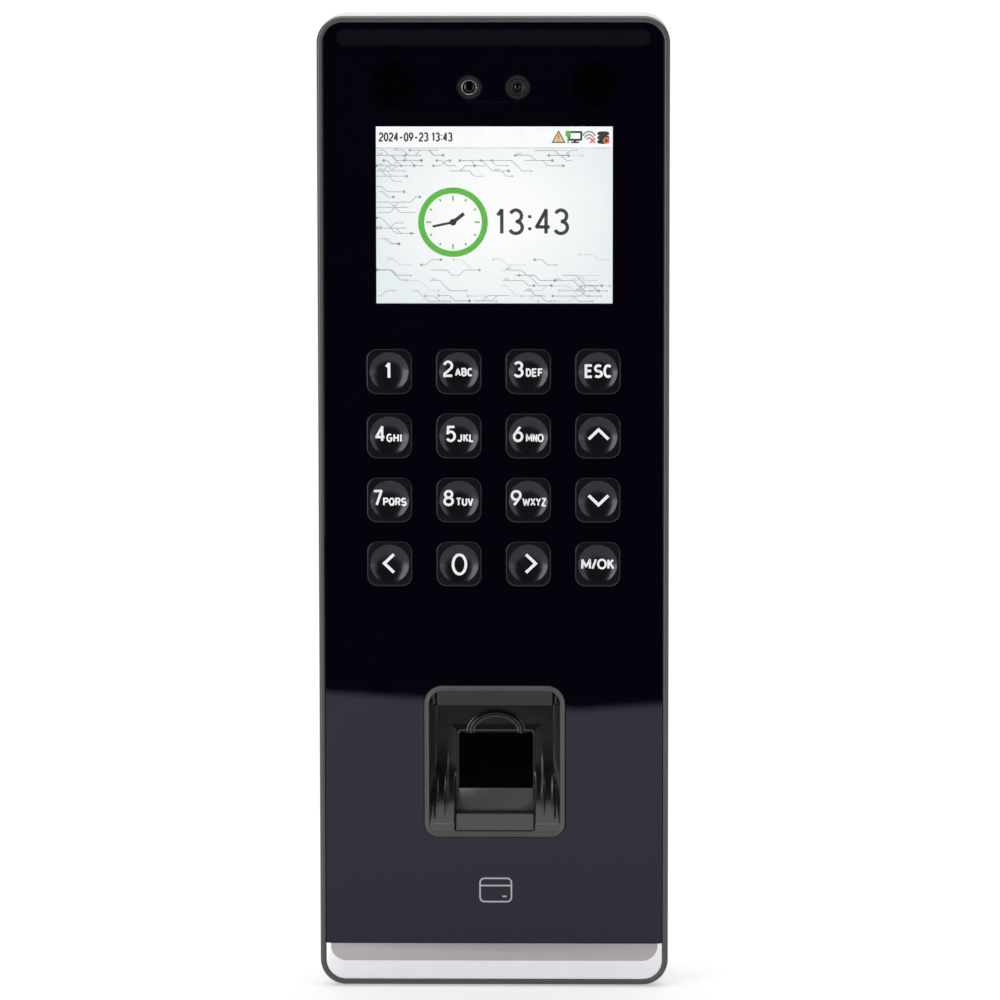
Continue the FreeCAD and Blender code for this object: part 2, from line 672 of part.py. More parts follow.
def key_grid(body, feature):
    """Repeat the lower left key's feature for every key."""
    grid(body, feature, key_grid_width, KEYS_ACROSS, key_grid_height, KEYS_UP)


def first_key(side, corner=None):
    """The square opening of the lower left key, which the patterns repeat."""
    return Rounded(key_left_x, key_low_z, side, side, corner, corner)


def tamper_hole():
    """The hole that the tamper plunger passes through on its way to the wall."""
    return Round(S.tamper_x, S.tamper_z, S.plunger_radius + S.plunger_hole_gap)


def corner_rounds(spacing_x, spacing_z, radius):
    """Four circles at the corners of a rectangle about the origin."""
    return [Round(spacing_x * across, spacing_z * up, radius)
            for across in (-0.5, 0.5) for up in (-0.5, 0.5)]


# ---------------------------------------------------------------- wall plate and lock
def make_wall_plate():
    body = new_body("wall_plate")
    tab_z = -S.plate_height / 2 + S.tab_thick / 2
    pad(body, "sheet", [Rounded(0, 0, S.plate_width, S.plate_height, S.plate_corner,
                                S.plate_corner)], 0, S.plate_thick)
    lip_back = S.tub_front + S.hook_clearance
    stub_front = lip_back + S.hook_lip_thick
    for name, low in (("upper", S.hook_top_z), ("lower", S.hook_low_z)):
        for side, across in (("left", -0.5), ("right", 0.5)):
            x = S.hook_x * across
            pad(body, name + side + "_stub",
                [Rounded(x, low + S.hook_stub / 2, S.hook_width, S.hook_stub)],
                S.plate_thick / 2, stub_front)
            pad(body, name + side + "_lip",
                [Rounded(x, low + S.hook_lip / 2, S.hook_width, S.hook_lip)],
                lip_back, stub_front)
    pad(body, "tab", [Rounded(0, tab_z, S.tab_width, S.tab_thick)],
        S.plate_thick / 2, S.tab_front)
    pocket(body, "screw_holes", corner_rounds(S.wall_screw_x, S.wall_screw_z,
                                              S.wall_screw_radius),
           -PAST, S.plate_thick + PAST)
    pocket(body, "cable_opening", [Rounded(0, S.bay_z, S.bay_width, S.bay_height,
                                           S.bay_corner, S.bay_corner)],
           -PAST, S.plate_thick + PAST)
    pocket(body, "tamper_hole", [tamper_hole()], -PAST, S.plate_thick + PAST)
    level_pocket(body, "lock_hole", [Round(0, -S.lock_depth, S.lock_radius)],
                 tab_z + S.tab_thick, tab_z - S.tab_thick)


def make_lock_screw():
    """The screw that goes up through the bottom wall into the wall plate's tab."""
    bottom = -shell_height / 2
    body = new_body("lock_screw")
    head_sketch = new_sketch(body, "head", LEVEL_PLANE, bottom + S.lock_head_sunk,
                             [Round(0, -S.lock_depth, S.lock_head)])
    head = body.newObject("PartDesign::Pad", "lock_screw_head")
    head.Profile = head_sketch
    bind(head, "Length", S.lock_head_thick)
    shank_sketch = new_sketch(body, "shank", LEVEL_PLANE, bottom + ROOT,
                              [Round(0, -S.lock_depth, S.lock_radius)])
    shank = body.newObject("PartDesign::Pad", "lock_screw_shank")
    shank.Profile = shank_sketch
    bind(shank, "Length", (shell_height - S.plate_height) / 2 + S.lock_reach)
    level_pocket(body, "drive", [Rounded(0, -S.lock_depth, S.lock_drive_width,
                                         S.lock_drive_slot)], bottom + ROOT, bottom - PAST)


# ---------------------------------------------------------------- rear shell
def make_rear_shell():
    body = new_body("rear_shell")
    shell_corner = S.body_corner - S.shell_inset
    outer = pad(body, "outer", [Rounded(0, 0, shell_width, shell_height, shell_corner,
                                        shell_corner)], S.shell_back, S.shell_front)
    round_edges(body, outer, S.shell_round, flat_at(S.shell_back))
    cavity_back = S.shell_back + S.shell_wall
    pocket(body, "cavity", [Rounded(0, 0, cavity_width, cavity_height, cavity_corner,
                                    cavity_corner)], cavity_back, S.shell_front + PAST)
    recess_width = S.plate_width + S.recess_gap * 2
    recess_height = S.plate_height + S.recess_gap * 2
    tub_width = recess_width + S.shell_wall * 2
    tub_height = recess_height + S.shell_wall * 2
    pad(body, "tub", [Rounded(0, 0, tub_width, tub_height, S.tub_corner, S.tub_corner)],
        cavity_back - ROOT, S.tub_front)
    pad(body, "case_bosses", corner_rounds(S.case_screw_x, S.case_screw_z,
                                           S.case_boss_radius),
        cavity_back - ROOT, S.case_boss_front)
    pad(body, "board_posts", corner_rounds(S.board_screw_x, S.board_screw_z,
                                           S.board_post_radius),
        cavity_back - ROOT, S.board_back)
    pocket(body, "recess", [Rounded(0, 0, recess_width, recess_height, S.recess_corner,
                                    S.recess_corner)], 0, S.recess_front)
    pocket(body, "head_recesses", corner_rounds(S.case_screw_x, S.case_screw_z,
                                                S.case_head_radius + S.case_head_gap),
           0, S.case_head_front)
    pocket(body, "case_holes", corner_rounds(S.case_screw_x, S.case_screw_z,
                                             S.case_screw_radius + S.case_hole_gap),
           S.case_head_front - PAST, S.case_boss_front + PAST)
    pocket(body, "board_holes", corner_rounds(S.board_screw_x, S.board_screw_z,
                                              S.board_screw_radius),
           S.board_hole_back, S.board_back + PAST)
    pocket(body, "cable_opening", [Rounded(0, S.bay_z, S.bay_width + S.bay_margin * 2,
                                           S.bay_height + S.bay_margin * 2, S.bay_corner,
                                           S.bay_corner)], 0, S.tub_front + PAST)
    slots = []
    for low in (S.hook_top_z, S.hook_low_z):
        for across in (-0.5, 0.5):
            middle = low + S.hook_stub + S.hook_rest - S.slot_drop / 2
            slots.append(Rounded(S.hook_x * across, middle, S.hook_width + S.slot_gap * 2,
                                 S.slot_drop, S.slot_corner, S.slot_corner))
    pocket(body, "hook_slots", slots, 0, S.tub_front + PAST)
    pocket(body, "tab_slot", [Rounded(0, -S.plate_height / 2 + S.tab_slot_rise,
                                      S.tab_width + S.tab_slot_gap * 2, S.tab_slot_height,
                                      S.slot_corner, S.slot_corner)], 0, S.tub_front + PAST)
    pocket(body, "tamper_hole", [tamper_hole()], 0, S.tub_front + PAST)
    bottom = -shell_height / 2
    level_pocket(body, "lock_hole", [Round(0, -S.lock_depth, S.lock_radius + S.lock_gap)],
                 bottom + S.shell_wall + ROOT, bottom - PAST)
    level_pocket(body, "lock_recess", [Round(0, -S.lock_depth, S.lock_head + S.lock_gap)],
                 bottom + S.lock_head_sunk + S.lock_head_thick, bottom - PAST)
    slot = level_pocket(body, "sound_slot",
                        [Rounded(S.sound_slot_x, -S.sound_slot_depth, S.sound_slot_width,
                                 S.sound_slot_length, S.sound_slot_corner,
                                 S.sound_slot_corner)],
                        bottom + S.shell_wall + ROOT, bottom - PAST)
    grid(body, slot, S.sound_slot_spread, SOUND_SLOTS, 0, 1)


def make_case_seal():
    width = S.body_width - S.seal_inset * 2
    height = S.body_height - S.seal_inset * 2
    corner = S.body_corner - S.seal_inset
    slab("case_seal",
         [Rounded(0, 0, width, height, corner, corner),
          Rounded(0, 0, width - S.seal_width * 2, height - S.seal_width * 2,
                  corner - S.seal_width, corner - S.seal_width)],
         S.shell_front, S.deck_back)


# ---------------------------------------------------------------- front frame and lens
def make_front_frame():
    body = new_body("front_frame")
    pad(body, "deck", [Rounded(0, 0, S.body_width, S.body_height, S.body_corner,
                               S.body_corner)], S.deck_back, S.deck_front)
    inner_corner = S.body_corner - S.rim_width
    rim = pad(body, "rim", [Rounded(0, 0, S.body_width, S.body_height, S.body_corner,
                                    S.body_corner),
                            Rounded(0, 0, S.body_width - S.rim_width * 2,
                                    S.body_height - S.rim_width * 2, inner_corner,
                                    inner_corner)], S.deck_front, S.rim_depth)
    round_edges(body, rim, S.rim_round, flat_at(S.rim_depth))
    width = cavity_width - S.skirt_gap * 2
    height = cavity_height - S.skirt_gap * 2
    corner = cavity_corner - S.skirt_gap
    pad(body, "skirt", [Rounded(0, 0, width, height, corner, corner),
                        Rounded(0, 0, width - S.skirt_wall * 2, height - S.skirt_wall * 2,
                                corner - S.skirt_wall, corner - S.skirt_wall)],
        S.skirt_back, S.deck_back)
    pad(body, "posts", corner_rounds(S.case_screw_x, S.case_screw_z, S.case_post_radius),
        S.case_boss_front + S.case_post_gap, S.deck_back)
    pocket(body, "post_holes", corner_rounds(S.case_screw_x, S.case_screw_z,
                                             S.case_screw_radius),
           S.case_boss_front - PAST, S.deck_back - PAST)
    pocket(body, "openings",
           [Rounded(S.screen_x, S.screen_z, S.panel_width + S.panel_gap * 2,
                    S.panel_height + S.panel_gap * 2, S.panel_opening_corner,
                    S.panel_opening_corner),
            finger_outline(S.finger_gap), fill_outline(S.fill_gap),
            Round(S.camera_x * -0.5, S.camera_z, S.camera_opening),
            Round(S.camera_x * 0.5, S.camera_z, S.camera_opening),
            Round(S.infrared_x * -0.5, S.infrared_z, S.infrared_radius + S.infrared_gap),
            Round(S.infrared_x * 0.5, S.infrared_z, S.infrared_radius + S.infrared_gap)],
           S.deck_back - PAST, S.deck_front + PAST)
    wells = pocket(body, "key_well", [first_key(S.key_well, S.key_well_corner)],
                   S.deck_back - PAST, S.deck_front + PAST)
    key_grid(body, wells)


def make_front_lens():
    body = new_body("front_lens")
    pad(body, "sheet", [Rounded(0, lens_middle, lens_width, lens_height, S.lens_corner),
                        finger_outline(S.finger_gap)], S.lens_back, S.lens_front)
    hole = pocket(body, "key_opening", [first_key(S.key_size + S.key_gap * 2,
                                                  S.key_corner + S.key_gap)],
                  S.lens_back - PAST, S.lens_front + PAST)
    key_grid(body, hole)


def make_lens_print():
    body = new_body("lens_print")
    pad(body, "film",
        [Rounded(0, lens_middle, lens_width - S.print_inset * 2,
                 lens_height - S.print_inset * 2, S.lens_corner - S.print_inset),
         finger_outline(S.finger_gap + S.print_gap),
         Rounded(S.screen_x, S.screen_z, S.screen_width, S.screen_height),
         fill_outline(0),
         Round(S.camera_x * -0.5, S.camera_z, S.camera_window),
         Round(S.camera_x * 0.5, S.camera_z, S.camera_window)],
        S.print_back, S.lens_back)
    opening = S.key_size + S.key_gap * 2 + S.print_gap * 2
    hole = pocket(body, "key_opening", [first_key(opening, S.key_corner + S.key_gap)],
                  S.print_back - PAST, S.lens_back + PAST)
    key_grid(body, hole)


def make_chin_trim():
    """The bright strip below the lens: a flat face with a wide bevel under it."""
    body = new_body("chin_trim")
    top = S.lens_bottom - S.lens_gap
    full_height = top - S.chin_bottom
    face_height = top - S.chin_fold
    pad(body, "base", [Rounded(0, (top + S.chin_bottom) / 2, S.chin_width, full_height,
                               None, S.chin_corner)], S.deck_front, S.chin_shoulder)
    low = new_sketch(body, "shoulder", FRONT_PLANE, S.chin_shoulder,
                     [Rounded(0, (top + S.chin_bottom) / 2, S.chin_width, full_height,
                              None, S.chin_corner)])
    high = new_sketch(body, "face", FRONT_PLANE, S.chin_front,
                      [Rounded(0, (top + S.chin_fold) / 2, S.chin_width - S.chin_side * 2,
                               face_height, None, S.chin_corner - S.chin_side)])
    loft = body.newObject("PartDesign::AdditiveLoft", "chin_trim_bevel")
    loft.Profile = low
    loft.Sections = [high]
    loft.Ruled = True


# ---------------------------------------------------------------- display
def make_display():
    slab("lcd_panel", [Rounded(S.screen_x, S.screen_z, S.panel_width, S.panel_height)],
         S.panel_back, S.panel_front)
    width = S.panel_width + S.light_margin * 2
    height = S.panel_height + S.light_margin * 2
    body = slab("lcd_backlight", [Rounded(S.screen_x, S.screen_z, width, height,
                                          S.light_corner, S.light_corner)],
                S.light_back, S.panel_back)
    pocket(body, "hollow", [Rounded(S.screen_x, S.screen_z, width - S.light_rib * 2,
                                    height - S.light_rib * 2, S.light_corner,
                                    S.light_corner)],
           S.light_back - ROOT, S.light_back + S.light_sunk)
    side_profile(new_body("lcd_flex"), "Pad", "strip",
                 flex_outline(S.screen_z - height / 2, S.flex_depth), S.screen_x, S.flex_width)


def flex_outline(start, depth):
    """A flat cable from an upper board's edge, back and up along the main board's face."""
    thick, rest = S.flex_thick, S.board_front
    turn, end = start - S.flex_drop, start + S.flex_land
    return Polygon((-depth, start), (-depth, turn), (-rest, turn), (-rest, end),
                   (-rest - thick, end), (-rest - thick, turn + thick),
                   (-depth + thick, turn + thick), (-depth + thick, start))


# ---------------------------------------------------------------- keypad
KEY_ROWS = [
    ["key_1", "key_2", "key_3", "key_escape"],
    ["key_4", "key_5", "key_6", "key_up"],
    ["key_7", "key_8", "key_9", "key_down"],
    ["key_left", "key_0", "key_right", "key_menu"],
]


class KeyDish:
    """Half section of the shallow round dish in a key's face."""

    def draw(self, sketch):
        face = -S.key_face
        floor = face + S.key_dish
        clear = face - ROOT
        reach = S.key_dish_radius
        points = [(face, reach), (clear, reach), (clear, as_size(0)), (floor, as_size(0))]
        for (x1, y1), (x2, y2) in zip(points, points[1:]):
            sketch.addGeometry(line(x1.number, y1.number, x2.number, y2.number))
        sag = S.key_dish.number
        radius = (sag ** 2 + reach.number ** 2) / (2 * sag)
        centre = FreeCAD.Vector(floor.number - radius, 0, 0)
        circle = Part.Circle(centre, FreeCAD.Vector(0, 0, 1), radius)
        spread = math.asin(reach.number / radius)
        arc = sketch.addGeometry(Part.ArcOfCircle(circle, 0, spread))
        for number in range(3):
            sketch.addConstraint(Sketcher.Constraint("Coincident", number, 2, number + 1, 1))
        sketch.addConstraint(Sketcher.Constraint("Coincident", arc, 2, 0, 1))
        sketch.addConstraint(Sketcher.Constraint("PointOnObject", arc, 3, -1))
        for number, (x, y) in enumerate(points[:3]):
            constrain(sketch, "DistanceX", x, number, 1)
            constrain(sketch, "DistanceY", y, number, 1)
        constrain(sketch, "DistanceX", floor, arc, 1)
        constrain(sketch, "DistanceY", 0, arc, 1)


def make_key(label, column, row):
    """A key cap drawn about its own axis and placed on the keypad."""
    body = new_body(label)
    pad(body, "flange", [Rounded(0, 0, S.key_flange, S.key_flange, S.key_corner,
                                 S.key_corner)], S.key_flange_back, S.key_flange_front)
    pad(body, "cap", [Rounded(0, 0, S.key_size, S.key_size, S.key_corner, S.key_corner)],
        S.key_flange_back, S.key_face)
    pad(body, "stem", [Round(0, 0, S.key_stem_radius)], S.key_stem_back, S.key_flange_back)
    section = new_sketch(body, "section", SIDE_PLANE, 0, [KeyDish()])
    dish = body.newObject("PartDesign::Groove", label + "_dish")
    dish.Profile = section
    dish.ReferenceAxis = (section, ["H_Axis"])
    dish.Angle = 360
    bind(body, "Placement.Base.x", key_left_x + S.key_pitch_x * column)
    bind(body, "Placement.Base.z", S.key_top_z - S.key_pitch_z * row)


def make_keypad():
    middle = S.key_top_z - key_grid_height / 2
    for row, labels in enumerate(KEY_ROWS):
        for column, label in enumerate(labels):
            make_key(label, column, row)
    mat = slab("key_mat", [Rounded(0, middle, S.keypad_width - S.mat_inset * 2,
                                   S.keypad_height - S.mat_inset * 2, S.mat_corner,
                                   S.mat_corner)], S.mat_back, S.mat_front)
    boss = pad(mat, "boss", [Round(key_left_x, key_low_z, S.mat_boss_radius)],
               S.mat_back, S.mat_boss_front)
    key_grid(mat, boss)
    slab("keypad_board", [Rounded(0, middle, S.keypad_width, S.keypad_height,
                                  S.keypad_corner, S.keypad_corner)],
         S.keypad_back, S.keypad_front)
    domes = []
    for row, labels in enumerate(KEY_ROWS):
        for column, label in enumerate(labels):
            domes.append(disc(label + "_switch", key_left_x + S.key_pitch_x * column,
                              S.key_top_z - S.key_pitch_z * row, S.dome_radius,
                              S.keypad_front, S.mat_back))
    group("key_switches", domes)
    side_profile(new_body("keypad_cable"), "Pad", "strip",
                 flex_outline(middle - S.keypad_height / 2, S.cable_depth), 0, S.cable_width)


# ---------------------------------------------------------------- fingerprint module
def well_floor(rise):
    """Side outline of the finger well, with its floor raised by a step height."""
    rise = as_size(rise)
    beyond = -S.finger_front - PAST
    lip = -S.rim_depth - S.well_lip
    return Polygon((beyond, S.well_top), (lip, S.well_top),
                   (-S.wall_foot_depth - rise, S.wall_foot_z + rise),
                   (-S.floor_top_depth - rise, S.floor_top_z),
                   (-S.floor_low_depth - rise * S.step_fade, S.floor_low_z),
                   (lip, S.well_low), (beyond, S.well_low))


def floor_depth(z):
    """Depth of the well's sloping floor at one height."""
    slope = (S.floor_low_depth - S.floor_top_depth) / (S.floor_top_z - S.floor_low_z)
    return S.floor_top_depth + (S.floor_top_z - z) * slope


def prism_outline(gap, back, above):
    """Side outline of the glass under the fingertip, or of its slot, from one depth out."""
    high = S.prism_top_z + gap
    low = S.floor_low_z + S.prism_sunk - gap
    return Polygon((-floor_depth(high) - above, high), (-back, high), (-back, low),
                   (-floor_depth(low) - above, low))


def make_finger_module():
    body = new_body("finger_guide")
    pad(body, "block", [finger_outline(0)], S.finger_back, S.finger_front)
    pad(body, "flange", [finger_outline(S.finger_flange)], S.finger_flange_back,
        S.finger_flange_front)
    side_profile(body, "Pocket", "wide_step", well_floor(S.step_rise * 2), S.finger_x,
                 S.well_wide)
    side_profile(body, "Pocket", "middle_step", well_floor(S.step_rise), S.finger_x,
                 S.well_mid)
    side_profile(body, "Pocket", "floor", well_floor(0), S.finger_x, S.well_narrow)
    side_profile(body, "Pocket", "prism_slot",
                 prism_outline(S.prism_fit, S.prism_back - PAST, S.prism_sunk), S.finger_x,
                 S.prism_width + S.prism_fit * 2)
    slab("finger_gasket", [finger_outline(S.finger_flange), finger_outline(S.finger_gap)],
         S.finger_flange_front, S.deck_back)
    prism = new_body("sensor_prism")
    side_profile(prism, "Pad", "wedge", prism_outline(as_size(0), S.prism_back, -S.prism_sunk),
                 S.finger_x, S.prism_width)
    slab("sensor_board", [Rounded(S.finger_x, S.finger_z - S.sensor_board_drop,
                                  S.sensor_board_side, S.sensor_board_side,
                                  S.small_board_corner, S.small_board_corner)],
         S.finger_back - S.sensor_board_thick, S.finger_back)


# ---------------------------------------------------------------- cameras and lamps
def make_cameras():
    xs = [S.camera_x * -0.5, S.camera_x * 0.5]
    holder = slab("camera_holder", [Rounded(0, S.camera_z, S.holder_width, S.holder_height,
                                            S.small_board_corner, S.small_board_corner)],
                  S.holder_back, S.holder_front)
    pad(holder, "sleeves", [Round(x, S.camera_z, S.sleeve_radius) for x in xs],
        S.holder_back, S.sleeve_front)
    pocket(holder, "bores", [Round(x, S.camera_z, S.camera_radius + S.camera_fit) for x in xs],
           S.camera_back, S.sleeve_front + PAST)
    for label, x in zip(("camera_left", "camera_right"), xs):
        camera = slab(label, [Round(x, S.camera_z, S.camera_radius)], S.camera_back,
                      S.camera_front)
        pocket(camera, "cone", [Round(x, S.camera_z, S.camera_pupil)],
               S.camera_front - S.camera_cone, S.camera_front + PAST)
    slab("camera_board", [Rounded(0, S.camera_z, S.camera_board_width, S.camera_board_height,
                                  S.small_board_corner, S.small_board_corner)],
         S.holder_back - S.camera_board_thick, S.holder_back)


def make_infrared_lamps():
    lamps = []
    for label, across in (("left", -0.5), ("right", 0.5)):
        x = S.infrared_x * across
        cup = slab("ir_reflector_" + label, [Round(x, S.infrared_z, S.infrared_radius)],
                   S.infrared_back, S.infrared_front)
        pocket(cup, "bowl", [Round(x, S.infrared_z, S.infrared_radius - S.infrared_wall)],
               S.infrared_floor, S.infrared_front + PAST)
        lamps.append(block("ir_chip_" + label, x, S.infrared_z, S.infrared_chip,
                           S.infrared_chip, S.infrared_floor,
                           S.infrared_floor + S.infrared_chip_thick))
    group("ir_leds", lamps)


def make_fill_light():
    slab("light_diffuser", [fill_outline(S.diffuser_margin)], S.diffuser_back,
         S.diffuser_front)
    board_z = S.fill_z - S.light_board_drop
    slab("light_board", [Rounded(0, board_z, S.light_board_width, S.light_board_height)],
         S.light_board_back, S.light_board_front)
    chips = []
    for number in range(FILL_CHIPS):
        x = S.light_chip_pitch * (number - (FILL_CHIPS - 1) / 2)
        chips.append(block("light_chip_%d" % number, x, board_z, S.light_chip_width,
                           S.light_chip_height, S.light_board_front,
                           S.light_board_front + S.light_chip_thick))
    group("light_leds", chips)


# ---------------------------------------------------------------- main board
# Centre across, centre up, width, height and thickness of the larger board components.
BOARD_CHIPS = [
    (17, 62, 12, 9, 1.2),
    (17, 48, 8, 8, 1.0),
    (14, 10, 14, 10, 1.4),
    (18, -6, 6, 6, 1.2),
    (-18, -12, 9, 6, 1.6),
    (-8, -30, 6, 5, 1.2),
    (20, -30, 5, 8, 2.0),
]
# Label, centre across, centre up, width, height and number of pins of the wire headers.
HEADERS = [
    ("network_header", -9, -13, 14, 6, 8),
    ("wiring_header", -6, -25, 18, 6, 10),
    ("power_header", 10, -13, 8, 6, 3),
]
VENT_STEPS = (-2, -1, 0, 1, 2)


def make_main_board():
    body = slab("main_board", [Rounded(0, 0, S.board_width, S.board_height, S.board_corner,
                                       S.board_corner)], S.board_back, S.board_front)
    pocket(body, "screw_holes", corner_rounds(S.board_screw_x, S.board_screw_z,
                                              S.board_screw_radius + S.board_hole_gap),
           S.board_back - PAST, S.board_front + PAST)
    shield_front = S.board_front + S.shield_thick
    shield = slab("processor_shield", [Rounded(S.shield_x, S.shield_z, S.shield_side,
                                               S.shield_side, S.shield_corner,
                                               S.shield_corner)], S.board_front, shield_front)
    vents = [Round(S.shield_x + S.vent_pitch * column, S.shield_z + S.vent_pitch * row,
                   S.vent_radius) for column in VENT_STEPS for row in VENT_STEPS]
    pocket(shield, "vents", vents, shield_front - S.vent_depth, shield_front + PAST)
    chips = []
    for number, (x, z, width, height, tall) in enumerate(BOARD_CHIPS):
        chips.append(block("board_chip_%d" % number, x, z, width, height, S.board_front,
                           S.board_front + tall))
    group("board_chips", chips)
    labelled("backup_cell", disc("coin_cell", S.cell_x, S.cell_z, S.cell_radius,
                                 S.board_front, S.board_front + S.cell_thick))


def make_header(label, x, z, width, height, pins):
    """A wire header on the main board's back, open towards the wall."""
    mouth = S.recess_front + S.header_mouth
    floor = S.board_back - S.header_floor
    body = slab(label, [Rounded(x, z, width, height, S.header_corner, S.header_corner)],
                mouth, S.board_back)
    pocket(body, "socket", [Rounded(x, z, as_size(width) - S.header_wall * 2,
                                    as_size(height) - S.header_wall * 2)],
           mouth - PAST, floor)
    pitch = (as_size(width) - S.pin_margin * 2) / (pins - 1)
    contacts = [Rounded(pitch * (number - (pins - 1) / 2) + x, z, S.pin_side, S.pin_side)
                for number in range(pins)]
    pad(body, "pins", contacts, mouth + S.pin_sunk, floor + S.pin_root)


def make_switches():
    """The reset button in the cable opening and the tamper plunger against the wall."""
    clear = S.plunger_radius + S.plunger_clearance
    reset_body = slab("reset_switch", [Rounded(S.reset_x, S.reset_z, S.reset_side,
                                               S.reset_side, S.switch_corner,
                                               S.switch_corner)],
                      S.reset_body_back, S.board_back)
    pocket(reset_body, "bore", [Round(S.reset_x, S.reset_z, clear)],
           S.reset_body_back - PAST, S.switch_bore_front)
    slab("reset_button", [Round(S.reset_x, S.reset_z, S.plunger_radius)], S.reset_back,
         S.reset_front)
    tamper_body = slab("tamper_switch", [Rounded(S.tamper_x, S.tamper_z, S.tamper_side,
                                                 S.tamper_side, S.switch_corner,
                                                 S.switch_corner)],
                       S.tamper_body_back, S.board_back)
    pocket(tamper_body, "bore", [Round(S.tamper_x, S.tamper_z, clear)],
           S.tamper_body_back - PAST, S.switch_bore_front)
    plunger = slab("tamper_plunger", [Round(S.tamper_x, S.tamper_z, S.plunger_radius)],
                   S.tamper_back, S.tamper_front)
    round_edges(plunger, plunger.Tip, S.plunger_round, flat_at(S.tamper_back))


def make_antenna_and_speaker():
    slab("antenna_board", [Rounded(0, S.card_z, S.card_width, S.card_height,
                                   S.small_board_corner, S.small_board_corner)],
         S.card_back, S.card_front)
    speaker = slab("speaker", [Rounded(S.speaker_x, S.speaker_z, S.speaker_width,
                                       S.speaker_height, S.speaker_corner,
                                       S.speaker_corner)], S.speaker_back, S.speaker_front)
    pocket(speaker, "cone", [Rounded(S.speaker_x, S.speaker_z,
                                     S.speaker_width - S.speaker_rim * 2,
                                     S.speaker_height - S.speaker_rim * 2,
                                     S.speaker_corner, S.speaker_corner)],
           S.speaker_front - S.speaker_cone, S.speaker_front + PAST)


def screw(name, x, z, head, shank, drive):
    """A slotted screw: its head and shank as (radius, back, front), and its drive slot."""
    blank = fused(name + "_blank", [disc(name + "_head", x, z, *head),
                                    disc(name + "_shank", x, z, *shank)])
    return cut(name, blank, block(name + "_drive", x, z, *drive))


def make_screws():
    case, board = [], []
    board_head_front = S.board_front + S.board_head_thick
    for number, (across, up) in enumerate(((-0.5, -0.5), (0.5, -0.5), (-0.5, 0.5),
                                           (0.5, 0.5))):
        case.append(screw("case_screw_%d" % number, S.case_screw_x * across,
                          S.case_screw_z * up,
                          (S.case_head_radius, S.case_head_back, S.case_head_front),
                          (S.case_screw_radius, S.case_head_front - ROOT,
                           S.case_shank_front),
                          (S.case_drive_width, S.case_drive_slot,
                           S.case_head_back - ROOT, S.case_drive_front)))
        board.append(screw("board_screw_%d" % number, S.board_screw_x * across,
                           S.board_screw_z * up,
                           (S.board_head_radius, S.board_front, board_head_front),
                           (S.board_screw_radius, S.board_screw_back,
                            S.board_front + ROOT),
                           (S.board_drive_width, S.board_drive_slot,
                            board_head_front - S.board_drive_depth,
                            board_head_front + ROOT)))
    group("case_screws", case)
    group("board_screws", board)


def check_model():
    """Stop if any object failed or any sub-part has no valid shape."""
    for item in doc.Objects:
        if "Invalid" in item.State or "Error" in item.State:
            raise RuntimeError("failed object: " + item.Name)
    for part in SUBPARTS:
        if part.Shape.isNull() or not part.Shape.isValid():
            raise RuntimeError("bad shape: " + part.Label)
        if not part.Shape.Solids:
            raise RuntimeError("no solid: " + part.Label)


def main():
    make_wall_plate()
    make_lock_screw()
    make_rear_shell()
    make_case_seal()
    make_front_frame()
    make_front_lens()
    make_lens_print()
    make_chin_trim()
    make_display()
    make_keypad()
    make_finger_module()
    make_cameras()
    make_infrared_lamps()
    make_fill_light()
    make_main_board()
    for header in HEADERS:
        make_header(*header)
    make_switches()
    make_antenna_and_speaker()
    make_screws()
    doc.recompute()
    check_model()
    os.makedirs("parts", exist_ok=True)
    for part in SUBPARTS:
        part.Shape.exportStep(os.path.join("parts", part.Label + ".step"))
        print("%-18s %9.1f mm3  %d solids" % (part.Label, part.Shape.Volume,
                                              len(part.Shape.Solids)))
    print(len(SUBPARTS), "sub-parts")


main()
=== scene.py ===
"""Looks for the wall-mounted time clock terminal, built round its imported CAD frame.

Lengths are in millimetres up to the stage, and `place` turns them into Blender's metres.
"Depth" is the distance out from the wall, so a point at depth d has y = -d.
"""

import math
import random
from contextlib import contextmanager

import bmesh
import bpy
from mathutils import Matrix, Vector


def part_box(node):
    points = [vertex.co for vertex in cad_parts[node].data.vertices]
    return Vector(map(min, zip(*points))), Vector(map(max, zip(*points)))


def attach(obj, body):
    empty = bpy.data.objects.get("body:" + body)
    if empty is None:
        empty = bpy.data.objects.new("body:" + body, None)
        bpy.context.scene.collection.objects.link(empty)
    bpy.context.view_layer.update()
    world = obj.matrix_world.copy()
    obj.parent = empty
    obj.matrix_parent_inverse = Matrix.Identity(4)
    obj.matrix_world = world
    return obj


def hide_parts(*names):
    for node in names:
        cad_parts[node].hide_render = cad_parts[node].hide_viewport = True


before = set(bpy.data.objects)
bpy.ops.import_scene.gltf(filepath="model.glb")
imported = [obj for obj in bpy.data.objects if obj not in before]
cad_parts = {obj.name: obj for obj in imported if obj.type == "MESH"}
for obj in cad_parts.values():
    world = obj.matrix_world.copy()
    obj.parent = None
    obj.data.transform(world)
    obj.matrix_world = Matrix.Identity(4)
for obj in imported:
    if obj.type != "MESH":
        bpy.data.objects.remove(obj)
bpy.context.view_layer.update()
MM = 0.001
TURN = 2 * math.pi


# ---- places read from the frame
class Box:
    """A CAD node's box in millimetres: x and z ranges, and depths from the wall."""

    def __init__(self, node):
        low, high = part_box(node)
        self.left, self.right = low.x / MM, high.x / MM
        self.low, self.high = low.z / MM, high.z / MM
        self.back, self.front = -high.y / MM, -low.y / MM
        self.x, self.z = (self.left + self.right) / 2, (self.low + self.high) / 2
        self.width, self.height = self.right - self.left, self.high - self.low


